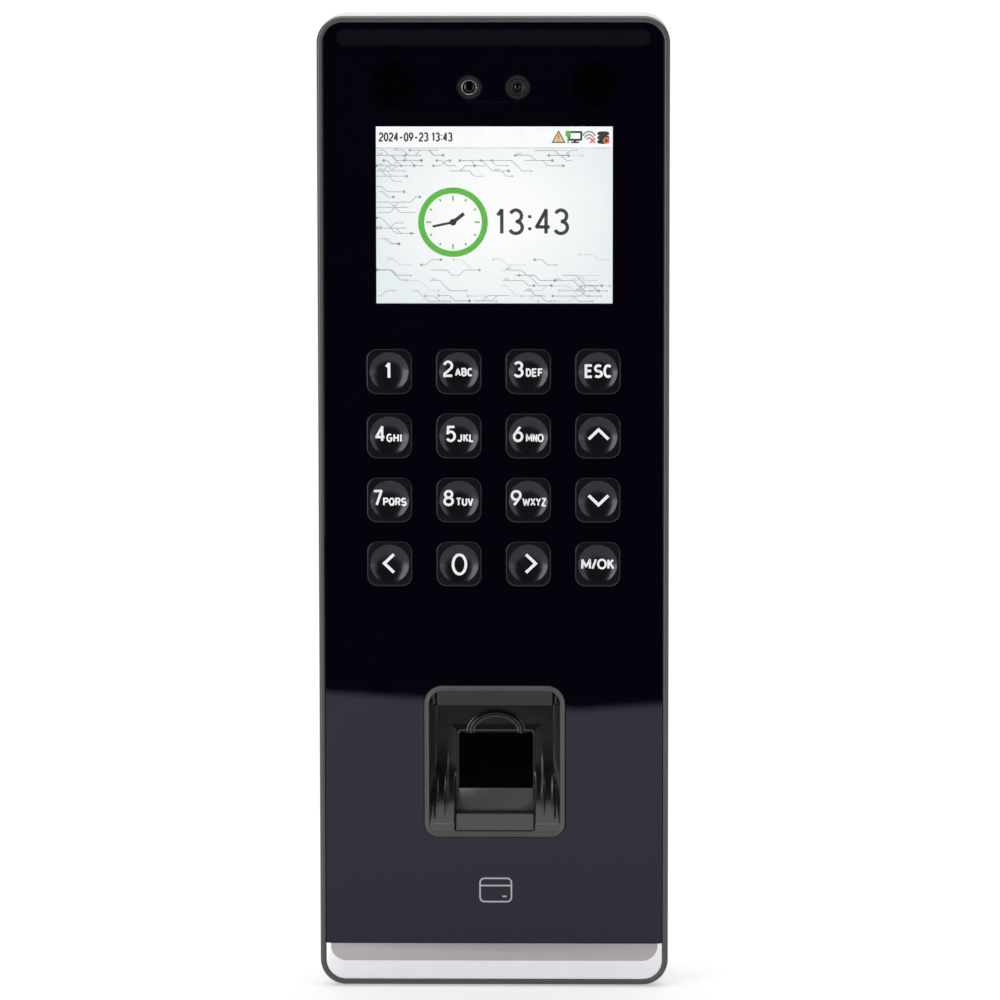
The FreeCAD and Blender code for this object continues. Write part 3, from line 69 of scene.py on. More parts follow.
FRAME_BOX = Box("front_frame")
LENS = Box("front_lens")
CHIN = Box("chin_trim")
FINGER = Box("finger_guide")
PANEL = Box("lcd_panel")
FILL = Box("light_diffuser")
DECK_BACK = Box("case_seal").front
RIM_CORNER = 5.4
RIM_WIDTH = 1.15
UNLIT_SHARE = 0.05
SCREEN_WIDTH = 48.96
SCREEN_HEIGHT = 36.72
SCREEN = (PANEL.x, PANEL.z)
MODULE_WIDTH = 29.4
MODULE_HEIGHT = 32.0
RIM_TOP_CORNER = 3.8
RIM_LOW_CORNER = 2.8
KEY_SIDE = 9.4
KEY_CORNER = 2.1
KEY_GAP = 0.18
DISH_RADIUS = 4.05


def place(x, depth, z):
    return Vector((x * MM, -depth * MM, z * MM))


# ---- materials
class Nodes:
    """A material's node tree, with short calls for the nodes used here."""

    def __init__(self, name):
        self.material = bpy.data.materials.new(name)
        self.material.use_nodes = True
        self.tree = self.material.node_tree
        self.shader = self.tree.nodes["Principled BSDF"]
        self.place = self.tree.nodes.new("ShaderNodeTexCoord").outputs["Object"]

    def node(self, kind, values=None, **settings):
        """Add a node with the given settings, and values for its inputs."""
        made = self.tree.nodes.new("ShaderNode" + kind)
        for key, value in settings.items():
            setattr(made, key, value)
        for key, value in (values or {}).items():
            made.inputs[key].default_value = value
        return made

    def link(self, output, target):
        self.tree.links.new(output, target)

    def set(self, **values):
        for key, value in values.items():
            self.shader.inputs[key.replace("_", " ")].default_value = value

    def mapped_place(self, scale=(1, 1, 1), location=(0, 0, 0)):
        mapping = self.node("Mapping", {"Location": location, "Scale": scale})
        self.link(self.place, mapping.inputs["Vector"])
        return mapping.outputs["Vector"]

    def noise(self, size, detail=3.0, roughness=0.55, stretch=(1, 1, 1)):
        """Noise whose grain is about `size` millimetres."""
        made = self.node("TexNoise", {"Scale": 1.0, "Detail": detail, "Roughness": roughness})
        scale = tuple(1 / (size * MM * part) for part in stretch)
        self.link(self.mapped_place(scale), made.inputs["Vector"])
        return made.outputs["Fac"]

    def ranged(self, value, low, high, from_low=0.3, from_high=0.7):
        made = self.node("MapRange", {"From Min": from_low, "From Max": from_high,
                                      "To Min": low, "To Max": high})
        self.link(value, made.inputs["Value"])
        return made.outputs["Result"]

    def mixed(self, factor, first, second):
        """A blend of two colours, which the node's sockets 6 and 7 hold."""
        made = self.node("Mix", {6: (*first, 1), 7: (*second, 1)}, data_type="RGBA")
        self.link(factor, made.inputs["Factor"])
        return made.outputs[2]

    def vary_colour(self, colour, spread, size, detail=4.0, socket="Base Color"):
        dark = tuple(part * (1 - spread) for part in colour)
        light = tuple(min(1, part * (1 + spread)) for part in colour)
        factor = self.ranged(self.noise(size, detail), 0, 1)
        self.link(self.mixed(factor, dark, light), self.shader.inputs[socket])

    def vary_roughness(self, low, high, size, stretch=(1, 1, 1)):
        value = self.noise(size, 5.0, 0.6, stretch)
        self.link(self.ranged(value, low, high), self.shader.inputs["Roughness"])

    def bump(self, value, strength, height):
        made = self.node("Bump", {"Strength": strength, "Distance": height * MM})
        self.link(value, made.inputs["Height"])
        self.link(made.outputs["Normal"], self.shader.inputs["Normal"])


def moulded(name, colour, low, high, grain=0.25, height=0.01, strength=0.25, ior=1.49):
    """Moulded plastic: a little colour drift, uneven gloss and a fine spark texture."""
    made = Nodes(name)
    made.set(IOR=ior)
    made.vary_colour(colour, 0.02, 6.0)
    made.vary_roughness(low, high, 3.0)
    made.bump(made.noise(grain, 2.0), strength, height)
    return made.material


def polished(name, colour, low, high, coat=0.0, ior=1.49, tint=(1, 1, 1)):
    """Polished plastic or glass seen as opaque: long soft waviness and faint handling marks."""
    made = Nodes(name)
    made.set(IOR=ior, Coat_Weight=coat, Coat_Roughness=0.03, Specular_Tint=(*tint, 1))
    made.vary_colour(colour, 0.05, 14.0)
    made.vary_roughness(low, high, 9.0)
    made.bump(made.noise(30.0, 1.0), 0.04, 0.02)
    return made.material


def metal(name, colour, low, high, stretch=(8, 1, 1), grain=0.3, spread=0.08):
    """Brushed or plated metal, with its brushing along the stretched axis."""
    made = Nodes(name)
    made.set(Metallic=1.0)
    made.vary_colour(colour, spread, 4.0)
    made.vary_roughness(low, high, grain, stretch)
    made.bump(made.noise(grain, 3.0, 0.6, stretch), 0.12, 0.006)
    return made.material


def clear(name, tint, roughness=0.01, ior=1.49):
    made = Nodes(name)
    made.set(IOR=ior, Transmission_Weight=1.0)
    made.vary_colour(tint, 0.01, 20.0)
    made.vary_roughness(roughness, roughness * 2, 10.0)
    return made.material


def glowing(name, colour, spread=0.03, size=3.0):
    """A lit patch of the display: mostly emission, under a matt face."""
    made = Nodes(name)
    unlit = tuple(part * UNLIT_SHARE for part in colour)
    made.set(Roughness=0.6, Emission_Strength=1.0, Base_Color=(*unlit, 1))
    made.vary_colour(colour, spread, size, 2.0, "Emission Color")
    return made.material


def screen_backdrop():
    """The display's white page, a little bluer and darker towards its edges."""
    made = Nodes("screen_page")
    made.set(Roughness=0.5, Emission_Strength=1.0, Base_Color=(0.03, 0.03, 0.03, 1))
    middle = (-SCREEN[0] / SCREEN_WIDTH * 2, 0, -SCREEN[1] / SCREEN_HEIGHT * 2)
    scale = (2 / (SCREEN_WIDTH * MM), 0, 2 / (SCREEN_HEIGHT * MM))
    length = made.node("VectorMath", operation="LENGTH")
    made.link(made.mapped_place(scale, middle), length.inputs[0])
    factor = made.ranged(length.outputs["Value"], 0, 1, 0.35, 1.1)
    page = made.mixed(factor, (0.98, 0.98, 0.98), (0.82, 0.87, 0.88))
    made.link(page, made.shader.inputs["Emission Color"])
    return made.material


BLUE_COAT = (0.73, 0.7, 0.93)
BLACK_GLASS = polished("black_glass", (0.0012, 0.001, 0.0032), 0.012, 0.03,
                       tint=BLUE_COAT)
BLACK_WINDOW = polished("infrared_window", (0.0006, 0.0006, 0.001), 0.01, 0.02)
FILL_WINDOW = polished("fill_window", (0.0045, 0.0043, 0.006), 0.05, 0.1)
GUNMETAL = moulded("gunmetal", (0.053, 0.048, 0.051), 0.28, 0.36, 0.3, 0.002, 0.1)
KEY_PLASTIC = polished("key_plastic", (0.0045, 0.0042, 0.0056), 0.17, 0.21,
                       tint=(0.7, 0.71, 0.86))
GUIDE_PLASTIC = moulded("guide_plastic", (0.0042, 0.004, 0.0052), 0.21, 0.26, 0.3, 0.001, 0.04)
# Grey laid over the lower part of the sensor window: painted reflection of the surroundings in the
# glass.
WINDOW_REFLECTION_GREY = moulded("sensor_window_painted_reflection", (0.045, 0.042, 0.046), 0.25, 0.35, 0.3, 0.001, 0.05)
WHITE_INK = moulded("white_ink", (0.72, 0.73, 0.75), 0.4, 0.5, 0.1, 0.002)
GREY_INK = moulded("grey_ink", (0.34, 0.33, 0.34), 0.35, 0.45, 0.1, 0.002)
CLEAR = clear("clear_acrylic", (0.97, 0.98, 0.98))
# One silver in two shades, standing for how light falls on the chin: the lighter copy on the bevel
# and edges is painted highlight, the darker copy on the flat face is painted shade.
CHIN_HIGHLIGHT_COPY = metal("chin_silver", (0.82, 0.83, 0.86), 0.36, 0.4, (1, 12, 12), 0.25, 0.02)
CHIN_SHADE_COPY = metal("chin_metal_painted_shade", (0.445, 0.42, 0.435), 0.38, 0.42, (1, 12, 12), 0.25, 0.02)
SHELL = moulded("shell_plastic", (0.66, 0.65, 0.69), 0.5, 0.56, 0.45, 0.02, 0.35)
STEEL = metal("plate_steel", (0.52, 0.53, 0.55), 0.34, 0.44, (14, 1, 1), 0.35, 0.04)
SCREW_STEEL = metal("screw_steel", (0.45, 0.45, 0.47), 0.22, 0.38, (1, 1, 1), 0.6)
RUBBER = moulded("seal_rubber", (0.012, 0.012, 0.013), 0.7, 0.85, 0.3, 0.02, 0.4)
SILICONE = moulded("silicone", (0.30, 0.31, 0.33), 0.5, 0.65, 0.3, 0.01)
CHIP = moulded("chip_resin", (0.018, 0.018, 0.02), 0.45, 0.6, 0.15, 0.006)
NYLON = moulded("natural_nylon", (0.68, 0.66, 0.58), 0.4, 0.5, 0.3, 0.006)
AMBER = polished("flex_film", (0.28, 0.11, 0.015), 0.2, 0.3)
RED = moulded("button_red", (0.42, 0.02, 0.015), 0.25, 0.35, 0.3, 0.004)
PRISM = polished("prism_glass", (0.0005, 0.0005, 0.0012), 0.01, 0.02, 1.0, 1.52)
BARREL = polished("camera_barrel", (0.011, 0.011, 0.013), 0.25, 0.35)
RING = metal("camera_ring", (0.3, 0.29, 0.29), 0.2, 0.3, (1, 1, 1), 0.4)


def circuit_board():
    """Green solder mask with faint copper runs under it."""
    made = Nodes("circuit_board")
    made.set(IOR=1.5)
    runs = made.node("TexBrick", {"Color1": (0.006, 0.075, 0.024, 1),
                                  "Color2": (0.008, 0.095, 0.032, 1),
                                  "Mortar": (0.018, 0.16, 0.06, 1),
                                  "Scale": 1.0, "Mortar Size": 0.05})
    made.link(made.mapped_place((260, 260, 260)), runs.inputs["Vector"])
    made.link(runs.outputs["Color"], made.shader.inputs["Base Color"])
    made.vary_roughness(0.25, 0.4, 4.0)
    made.bump(runs.outputs["Fac"], 0.3, 0.03)
    return made.material


BOARD = circuit_board()


# ---- mesh building
def linked(name, data):
    """A new object in the scene that shows the given data."""
    made = bpy.data.objects.new(name, data)
    bpy.context.scene.collection.objects.link(made)
    return made


def finish_piece(name, mesh, material, sharp=35.0, body="housing"):
    """Link a mesh as a piece of the object that moves with a CAD body."""
    piece = linked(name, mesh)
    mesh.shade_smooth()
    mesh.set_sharp_from_angle(angle=math.radians(sharp))
    mesh.materials.append(material)
    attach(piece, body)
    return piece


def raw_mesh(name, skin):
    """A mesh from vertices and faces."""
    mesh = bpy.data.meshes.new(name)
    mesh.from_pydata(skin[0], [], skin[1])
    return mesh


@contextmanager
def editing(mesh):
    """Open a mesh for editing, and write it back afterwards."""
    work = bmesh.new()
    work.from_mesh(mesh)
    yield work
    work.to_mesh(mesh)
    work.free()


def solid(name, skin, material, sharp=35.0, body="housing"):
    """A piece from the vertices and faces of a closed skin."""
    mesh = raw_mesh(name, skin)
    with editing(mesh) as work:
        bmesh.ops.remove_doubles(work, verts=work.verts, dist=1e-7)
        bmesh.ops.recalc_face_normals(work, faces=work.faces)
    return finish_piece(name, mesh, material, sharp, body)


def rounded(x, z, width, height, top, low=None, steps=16):
    """Points round a rectangle with rounded corners, anticlockwise from the lower right."""
    low = top if low is None else low
    corners = ((1, -1, low, 3), (1, 1, top, 0), (-1, 1, top, 1), (-1, -1, low, 2))
    points = []
    for side, up, radius, quarter in corners:
        centre_x = x + side * width / 2 - side * radius
        centre_z = z + up * height / 2 - up * radius
        for step in range(steps + 1):
            angle = (quarter + step / steps) * TURN / 4
            points.append((centre_x + radius * math.cos(angle),
                           centre_z + radius * math.sin(angle)))
    return points


def circle(x, z, radius, steps=64):
    return [(x + radius * math.cos(TURN * step / steps), z + radius * math.sin(TURN * step / steps))
            for step in range(steps)]


def lofted(rings, closed=False):
    """Vertices and faces of a skin through rings of points; open ends are capped."""
    count = len(rings[0])
    vertices = [point for ring in rings for point in ring]
    faces = []
    spans = len(rings) if closed else len(rings) - 1
    for ring in range(spans):
        start, after = ring * count, (ring + 1) % len(rings) * count
        for point in range(count):
            following = (point + 1) % count
            faces.append((start + point, start + following, after + following, after + point))
    if not closed:
        faces.append(tuple(range(count)))
        faces.append(tuple(range(len(vertices) - count, len(vertices))))
    return vertices, faces


def behind(front, points):
    """Profile points from (inset, drop) pairs, where a drop lies behind the front."""
    return [(inset, front - drop) for inset, drop in points]


def frame_ring(x, z, width, height, top, low, profile):
    """Rings for a frame whose section is a list of (inset, depth) points."""
    rings = []
    for inset, depth in profile:
        outline = rounded(x, z, width - 2 * inset, height - 2 * inset,
                          max(top - inset, 0.05), max(low - inset, 0.05))
        rings.append([place(px, depth, pz) for px, pz in outline])
    return rings


def eased(start, end, steps=6):
    """Points on the quarter round between two (inset, depth) points, bulging outwards."""
    points = []
    for step in range(steps + 1):
        angle = step / steps * TURN / 4
        points.append((start[0] + (end[0] - start[0]) * (1 - math.cos(angle)),
                       start[1] + (end[1] - start[1]) * math.sin(angle)))
    return points


def panel(name, outlines, back, front, edge, material):
    """A flat plate with openings and rounded front edges, filled from closed outlines."""
    curve = bpy.data.curves.new(name, "CURVE")
    curve.dimensions = "2D"
    curve.fill_mode = "BOTH"
    for outline in outlines:
        spline = curve.splines.new("POLY")
        spline.points.add(len(outline) - 1)
        for point, (x, z) in zip(spline.points, outline):
            point.co = (x * MM, z * MM, 0, 1)
        spline.use_cyclic_u = True
    curve.extrude = max((front - back) / 2 - edge, 0) * MM
    curve.bevel_depth = edge * MM
    curve.bevel_resolution = 3
    curve.offset = -edge * MM
    holder = linked(name + "_curve", curve)
    depsgraph = bpy.context.evaluated_depsgraph_get()
    mesh = bpy.data.meshes.new_from_object(holder.evaluated_get(depsgraph))
    bpy.data.objects.remove(holder)
    upright = Matrix.Rotation(TURN / 4, 4, "X")
    mesh.transform(Matrix.Translation((0, -(back + front) / 2 * MM, 0)) @ upright)
    mesh.name = name
    return finish_piece(name, mesh, material)


def arc(x, y, wide, tall, start, end, steps=10):
    """Points on an ellipse between two angles in degrees."""
    angles = [math.radians(start + (end - start) * step / steps) for step in range(steps + 1)]
    return [(x + wide * math.cos(angle), y + tall * math.sin(angle)) for angle in angles]


OVAL = arc(0.5, 0.5, 0.5, 0.5, 90, 450, 24)
BOWL = [(0.08, 0), (0.08, 1), (0.58, 1)] + arc(0.58, 0.74, 0.4, 0.26, 90, -90) + [(0.08, 0.48)]
# The strokes of each sign in a box one wide and one high.
SIGNS = {
    "0": [OVAL], "O": [OVAL], "Q": [OVAL, [(0.55, 0.28), (0.98, -0.02)]],
    "1": [[(0.05, 0.78), (0.62, 1), (0.62, 0)]], "I": [[(0.5, 0), (0.5, 1)]],
    "2": [arc(0.5, 0.7, 0.48, 0.3, 165, -30) + [(0.06, 0.13), (0.06, 0), (1, 0)]],
    "3": [arc(0.46, 0.75, 0.44, 0.25, 155, -90), arc(0.46, 0.26, 0.5, 0.26, 90, -155)],
    "4": [[(0.72, 0), (0.72, 1), (0, 0.28), (1, 0.28)]],
    "5": [[(0.92, 1), (0.16, 1), (0.08, 0.52)] + arc(0.46, 0.33, 0.5, 0.33, 125, -150)],
    "6": [[(0.74, 1), (0.3, 0.66), (0.08, 0.42)], arc(0.5, 0.31, 0.48, 0.31, 90, 450, 20)],
    "7": [[(0, 1), (1, 1), (0.36, 0)]],
    "8": [arc(0.5, 0.76, 0.42, 0.24, 90, 450, 20), arc(0.5, 0.26, 0.5, 0.26, 90, 450, 20)],
    "9": [[(0.26, 0), (0.7, 0.34), (0.92, 0.58)], arc(0.5, 0.69, 0.48, 0.31, 90, 450, 20)],
    "A": [[(0, 0), (0.5, 1), (1, 0)], [(0.2, 0.3), (0.8, 0.3)]],
    "B": [[(0.08, 0), (0.08, 1), (0.55, 1)] + arc(0.55, 0.76, 0.36, 0.24, 90, -90) +
          [(0.08, 0.52)], [(0.55, 0.52)] + arc(0.55, 0.26, 0.42, 0.26, 90, -90) + [(0.08, 0)]],
    "C": [arc(0.5, 0.5, 0.5, 0.5, 48, 312, 18)],
    "D": [[(0.08, 0), (0.08, 1), (0.42, 1)] + arc(0.42, 0.5, 0.56, 0.5, 90, -90, 14) +
          [(0.08, 0)]],
    "E": [[(0.95, 1), (0.08, 1), (0.08, 0), (0.95, 0)], [(0.08, 0.52), (0.85, 0.52)]],
    "F": [[(0.95, 1), (0.08, 1), (0.08, 0)], [(0.08, 0.52), (0.85, 0.52)]],
    "G": [arc(0.5, 0.5, 0.5, 0.5, 48, 330, 18) + [(0.94, 0.46), (0.55, 0.46)]],
    "H": [[(0.08, 0), (0.08, 1)], [(0.92, 0), (0.92, 1)], [(0.08, 0.52), (0.92, 0.52)]],
    "J": [[(0.8, 1), (0.8, 0.3)] + arc(0.4, 0.3, 0.4, 0.3, 0, -160)],
    "K": [[(0.08, 0), (0.08, 1)], [(0.92, 1), (0.1, 0.4)], [(0.38, 0.6), (0.98, 0)]],
    "L": [[(0.08, 1), (0.08, 0), (0.92, 0)]],
    "M": [[(0.04, 0), (0.04, 1), (0.5, 0.22), (0.96, 1), (0.96, 0)]],
    "N": [[(0.06, 0), (0.06, 1), (0.94, 0), (0.94, 1)]],
    "P": [BOWL], "R": [BOWL, [(0.55, 0.48), (0.98, 0)]],
    "S": [arc(0.5, 0.74, 0.45, 0.26, 38, 270, 12) + arc(0.48, 0.25, 0.5, 0.25, 90, -145, 12)],
    "T": [[(0, 1), (1, 1)], [(0.5, 1), (0.5, 0)]],
    "U": [[(0.06, 1), (0.06, 0.32)] + arc(0.5, 0.32, 0.44, 0.32, 180, 360) + [(0.94, 1)]],
    "V": [[(0, 1), (0.5, 0), (1, 1)]], "W": [[(0, 1), (0.25, 0), (0.5, 0.86), (0.75, 0), (1, 1)]],
    "X": [[(0, 0), (1, 1)], [(0, 1), (1, 0)]],
    "Y": [[(0, 1), (0.5, 0.48), (1, 1)], [(0.5, 0.48), (0.5, 0)]],
    "Z": [[(0.04, 1), (0.96, 1), (0.04, 0), (0.98, 0)]], "/": [[(0, -0.04), (1, 1.04)]],
    "-": [[(0.1, 0.42), (0.9, 0.42)]],
    ":": [[(0.5, 0.14), (0.5, 0.26)], [(0.5, 0.66), (0.5, 0.78)]], " ": [],
}
SHARP_BEND = math.radians(100)
SIGN_WIDTHS = {"I": 0.2, "1": 0.45, "M": 1.2, "W": 1.3, "/": 0.5, ":": 0.2, " ": 0.3, "O": 1.1}


def split_at_bends(points, overlap):
    """Cut a line where it doubles back, so that both parts keep their full width there."""
    parts, part = [], [Vector(points[0])]
    for number in range(1, len(points)):
        part.append(Vector(points[number]))
        if number < len(points) - 1:
            before, after = part[-1] - part[-2], Vector(points[number + 1]) - part[-1]
            if before.angle(after, 0) > SHARP_BEND:
                corner = part[-1].copy()
                part[-1] = corner + before.normalized() * overlap
                parts.append(part)
                part = [corner - after.normalized() * overlap]
    return parts + [part]


def lettering(text, left, right, low, high, line, gap=0.32):
    """Ribbons of even width that spell a text inside the given box."""
    widths = [SIGN_WIDTHS.get(sign, 0.8) for sign in text]
    unit = (right - left - line) / (sum(widths) + gap * (len(text) - 1))
    tall, x, parts = high - low - line, left + line / 2, []
    for sign, width in zip(text, widths):
        for stroke in SIGNS[sign]:
            points = [(x + across * width * unit, low + line / 2 + up * tall)
                      for across, up in stroke]
            parts += [stroke_mesh(part, line) for part in split_at_bends(points, line * 0.25)]
        x += (width + gap) * unit
    return parts


def stroke_mesh(points, width, closed=False):
    """A flat ribbon of even width through points in the front plane, with mitred bends."""
    count = len(points)
    sides = []
    for number, (x, z) in enumerate(points):
        before = points[number - 1] if number or closed else None
        after = points[(number + 1) % count] if number < count - 1 or closed else None
        directions = []
        if before:
            directions.append(Vector((x - before[0], z - before[1])).normalized())
        if after:
            directions.append(Vector((after[0] - x, after[1] - z)).normalized())
        along = sum(directions, Vector((0, 0))).normalized()
        across = Vector((-along.y, along.x))
        reach = width / 2 / max(across.dot(Vector((-directions[0].y, directions[0].x))), 0.65)
        sides.append(((x + across.x * reach, z + across.y * reach),
                      (x - across.x * reach, z - across.y * reach)))
    vertices = [place(px, 0, pz) for pair in sides for px, pz in pair]
    faces = []
    for number in range(count if closed else count - 1):
        start, after = number * 2, (number + 1) % count * 2
        faces.append((start, start + 1, after + 1, after))
    return vertices, faces


def filled(outline):
    """One flat face inside an outline in the front plane."""
    return [place(x, 0, z) for x, z in outline], [tuple(range(len(outline)))]


def disc_mesh(x, z, radius, steps=24):
    return filled(circle(x, z, radius, steps))


def joined(parts):
    """One list of vertices and faces from several."""
    vertices, faces = [], []
    for part_vertices, part_faces in parts:
        start = len(vertices)
        vertices += part_vertices
        faces += [tuple(start + index for index in face) for face in part_faces]
    return vertices, faces


def printed(name, parts, depth, material, thick=0.012):
    """Thin printed shapes on a plane at one depth, with a little real thickness in front."""
    vertices, faces = joined(parts)
    mesh = raw_mesh(name, ([vertex - Vector((0, depth * MM, 0)) for vertex in vertices], faces))
    with editing(mesh) as work:
        bmesh.ops.remove_doubles(work, verts=work.verts, dist=1e-8)
        bmesh.ops.recalc_face_normals(work, faces=work.faces)
        for face in work.faces:
            if face.normal.y > 0:
                face.normal_flip()
        shape = bmesh.ops.extrude_face_region(work, geom=list(work.faces))
        moved = [item for item in shape["geom"] if isinstance(item, bmesh.types.BMVert)]
        bmesh.ops.translate(work, verts=moved, vec=(0, -thick * MM, 0))
        bmesh.ops.recalc_face_normals(work, faces=work.faces)
    finish_piece(name, mesh, material)


def give_second_material(piece, material, depth, top=math.inf):
    """Use another material on the faces in front of a depth and below a height."""
    piece.data.materials.append(material)
    for polygon in piece.data.polygons:
        if polygon.center.y < -depth * MM and polygon.center.z < top * MM:
            polygon.material_index = 1


# ---- front frame and lens
def make_bezel():
    """The gunmetal rim: side wall, bright outer chamfer, flat face and a rounded inner edge."""
    front, inner = FRAME_BOX.front, RIM_WIDTH + 1.5
    profile = [(inner, DECK_BACK + 0.02), (0.06, DECK_BACK + 0.02), (0.0, DECK_BACK + 0.1),
               (0.0, DECK_BACK + 0.2), (0.0, front - 0.62)]
    profile += eased((0.0, front - 0.6), (0.62, front), 8)
    profile += behind(front, [(0.74, 0), (0.9, 0.03), (1.02, 0.1), (1.11, 0.22),
                              (RIM_WIDTH, 0.4)])
    profile += [(RIM_WIDTH, LENS.back - 0.4), (inner, LENS.back - 0.4)]
    rings = frame_ring(FRAME_BOX.x, FRAME_BOX.z, FRAME_BOX.width, FRAME_BOX.height, RIM_CORNER,
                       RIM_CORNER, profile)
    piece = solid("bezel", lofted(rings, closed=True), GUNMETAL, 50)
    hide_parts("front_frame")


KEYS = ["key_1", "key_2", "key_3", "key_escape", "key_4", "key_5", "key_6", "key_up", "key_7",
        "key_8", "key_9", "key_down", "key_left", "key_0", "key_right", "key_menu"]


def stadium(x1, x2, z, radius):
    """A bar with half-round ends."""
    return arc(x2, z, radius, radius, -90, 90, 24) + arc(x1, z, radius, radius, 90, 270, 24)


LENS_CORNER = 4.15
LENS_EDGE = 0.06
LAMP_RADIUS = 4.9
CAMERA_OPENING = 2.5
FILL_REACH, FILL_RADIUS = 30.8, 1.65
MODULE_GAP = 0.12
FILM = 0.006


def make_glass():
    """The black front: one plate with openings, a clear screen window, and dark films."""
    screen = rounded(*SCREEN, SCREEN_WIDTH, SCREEN_HEIGHT, 0.05, 0.05, 2)
    left_x, right_x, camera_z = Box("camera_left").x, Box("camera_right").x, Box("camera_left").z
    openings = [rounded(LENS.x, LENS.z, LENS.width, LENS.height, LENS_CORNER, 0.25), screen]
    openings += [circle(x, camera_z, CAMERA_OPENING) for x in (left_x, right_x)]
    for key in KEYS:
        box = Box(key)
        side = KEY_SIDE + 2 * KEY_GAP
        openings.append(rounded(box.x, box.z, side, side, KEY_CORNER + KEY_GAP, steps=10))
    openings.append(rounded(FINGER.x, FINGER.z, MODULE_WIDTH + 2 * MODULE_GAP,
                            MODULE_HEIGHT + 2 * MODULE_GAP, RIM_TOP_CORNER + MODULE_GAP,
                            RIM_LOW_CORNER + MODULE_GAP))
    sheet = panel("glass_panel", openings, LENS.back, LENS.front, LENS_EDGE,
                  BLACK_GLASS)
    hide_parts("front_lens", "lens_print")
    panel("screen_window", [screen], LENS.front - 0.6, LENS.front - 0.002, 0.0,
          CLEAR)
    line = [(left_x - 0.6, camera_z - 3.05), (right_x + 0.6, camera_z - 3.05)]
    printed("camera_mark", [stroke_mesh(line, 0.16)], LENS.front, FILL_WINDOW,
            FILM)
    fill = stadium(FILL.x - FILL_REACH, FILL.x + FILL_REACH, FILL.z, FILL_RADIUS)
    films = [("fill_light_window", fill, FILL_WINDOW)]
    for side in ("left", "right"):
        lamp = Box("ir_reflector_" + side)
        films.append(("infrared_window_" + side, circle(lamp.x, lamp.z, LAMP_RADIUS),
                      BLACK_WINDOW))
    for name, outline, material in films:
        panel(name, [outline], LENS.front, LENS.front + FILM, 0.0, material)


CARD_PLACE = (FINGER.x + 0.2, -81.4)
CARD_WIDE, CARD_TALL, CARD_LINE = 6.9, 5.3, 0.33


def make_card_symbol():
    """A plain card outline printed where a card is held."""
    x, z = CARD_PLACE
    reach = CARD_WIDE / 2 - CARD_LINE
    outline = rounded(x, z, CARD_WIDE - CARD_LINE, CARD_TALL - CARD_LINE, 0.9, steps=6)
    parts = [stroke_mesh(outline, CARD_LINE, closed=True),
             stroke_mesh([(x - reach, z + 0.95), (x + reach, z + 0.95)], CARD_LINE),
             stroke_mesh([(x + 1.4, z - 1.35), (x + 2.3, z - 1.35)], CARD_LINE)]
    printed("card_symbol", parts, LENS.front, GREY_INK)


CHIN_FOLD = -96.4
CHIN_CORNER = 4.15


def make_chin():
    """The silver strip: a flat upper face in a darker copy of the silver (painted shade) that
    breaks into a bevel in a lighter copy (painted highlight), edges softened.
    """
    top, base, front = CHIN.high, CHIN.low - 0.06, CHIN.front

    def ring(inset, low, corner, depth):
        outline = rounded(CHIN.x, (top + low) / 2, CHIN.width + 0.1 - 2 * inset, top - low, 0.06,
                          corner)
        return [place(x, depth, z) for x, z in outline]

    rings = [ring(0.0, base, CHIN_CORNER, CHIN.back), ring(0.0, base, CHIN_CORNER, front - 0.42),
             ring(0.04, base + 0.04, 4.11, front - 0.35),
             ring(0.9, CHIN_FOLD - 0.12, 3.4, front - 0.03),
             ring(0.94, CHIN_FOLD - 0.04, 3.36, front - 0.01),
             ring(1.0, CHIN_FOLD + 0.06, 3.3, front)]
    piece = solid("chin_strip", lofted(rings), CHIN_HIGHLIGHT_COPY, 28)
    # The front-facing flat faces take the darker copy of the silver: painted shade.
    give_second_material(piece, CHIN_SHADE_COPY, front - 0.005)
    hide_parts("chin_trim")


# ---- keys and their legends
# Lettering by key: text, its box (left, right, low, high) about the key's centre, and its line.
LEGENDS = {
    "key_1": [("1", -0.95, 0.6, -1.6, 1.9, 0.58)],
    "key_2": [("2", -3.33, -1.12, -1.13, 2.33, 0.52), ("ABC", -0.8, 2.98, -1.0, 0.76, 0.35)],
    "key_3": [("3", -3.1, -0.9, -1.25, 2.2, 0.52), ("DEF", -0.58, 3.13, -1.1, 0.68, 0.35)],
    "key_escape": [("ESC", -2.88, 3.08, -1.33, 1.55, 0.53)],
    "key_4": [("4", -2.98, -0.79, -1.35, 2.1, 0.52), ("GHI", -0.65, 2.7, -1.35, 0.44, 0.35)],
    "key_5": [("5", -2.73, -0.54, -1.32, 2.12, 0.52), ("JKL", -0.35, 3.25, -1.3, 0.45, 0.35)],
    "key_6": [("6", -3.27, -1.0, -1.32, 2.12, 0.52), ("MNO", -0.54, 3.2, -1.3, 0.45, 0.31)],
    "key_7": [("7", -3.52, -1.44, -1.32, 2.12, 0.52), ("PQRS", -1.44, 3.58, -1.3, 0.45, 0.35)],
    "key_8": [("8", -3.27, -1.04, -1.32, 2.12, 0.52), ("TUV", -0.69, 3.0, -1.3, 0.45, 0.35)],
    "key_9": [("9", -3.73, -1.35, -1.32, 2.12, 0.52), ("WXYZ", -1.25, 3.77, -1.3, 0.45, 0.31)],
    "key_0": [("0", -1.56, 1.7, -2.46, 2.17, 0.57)],
    "key_menu": [("M/OK", -3.5, 3.5, -1.16, 1.1, 0.44)],
}
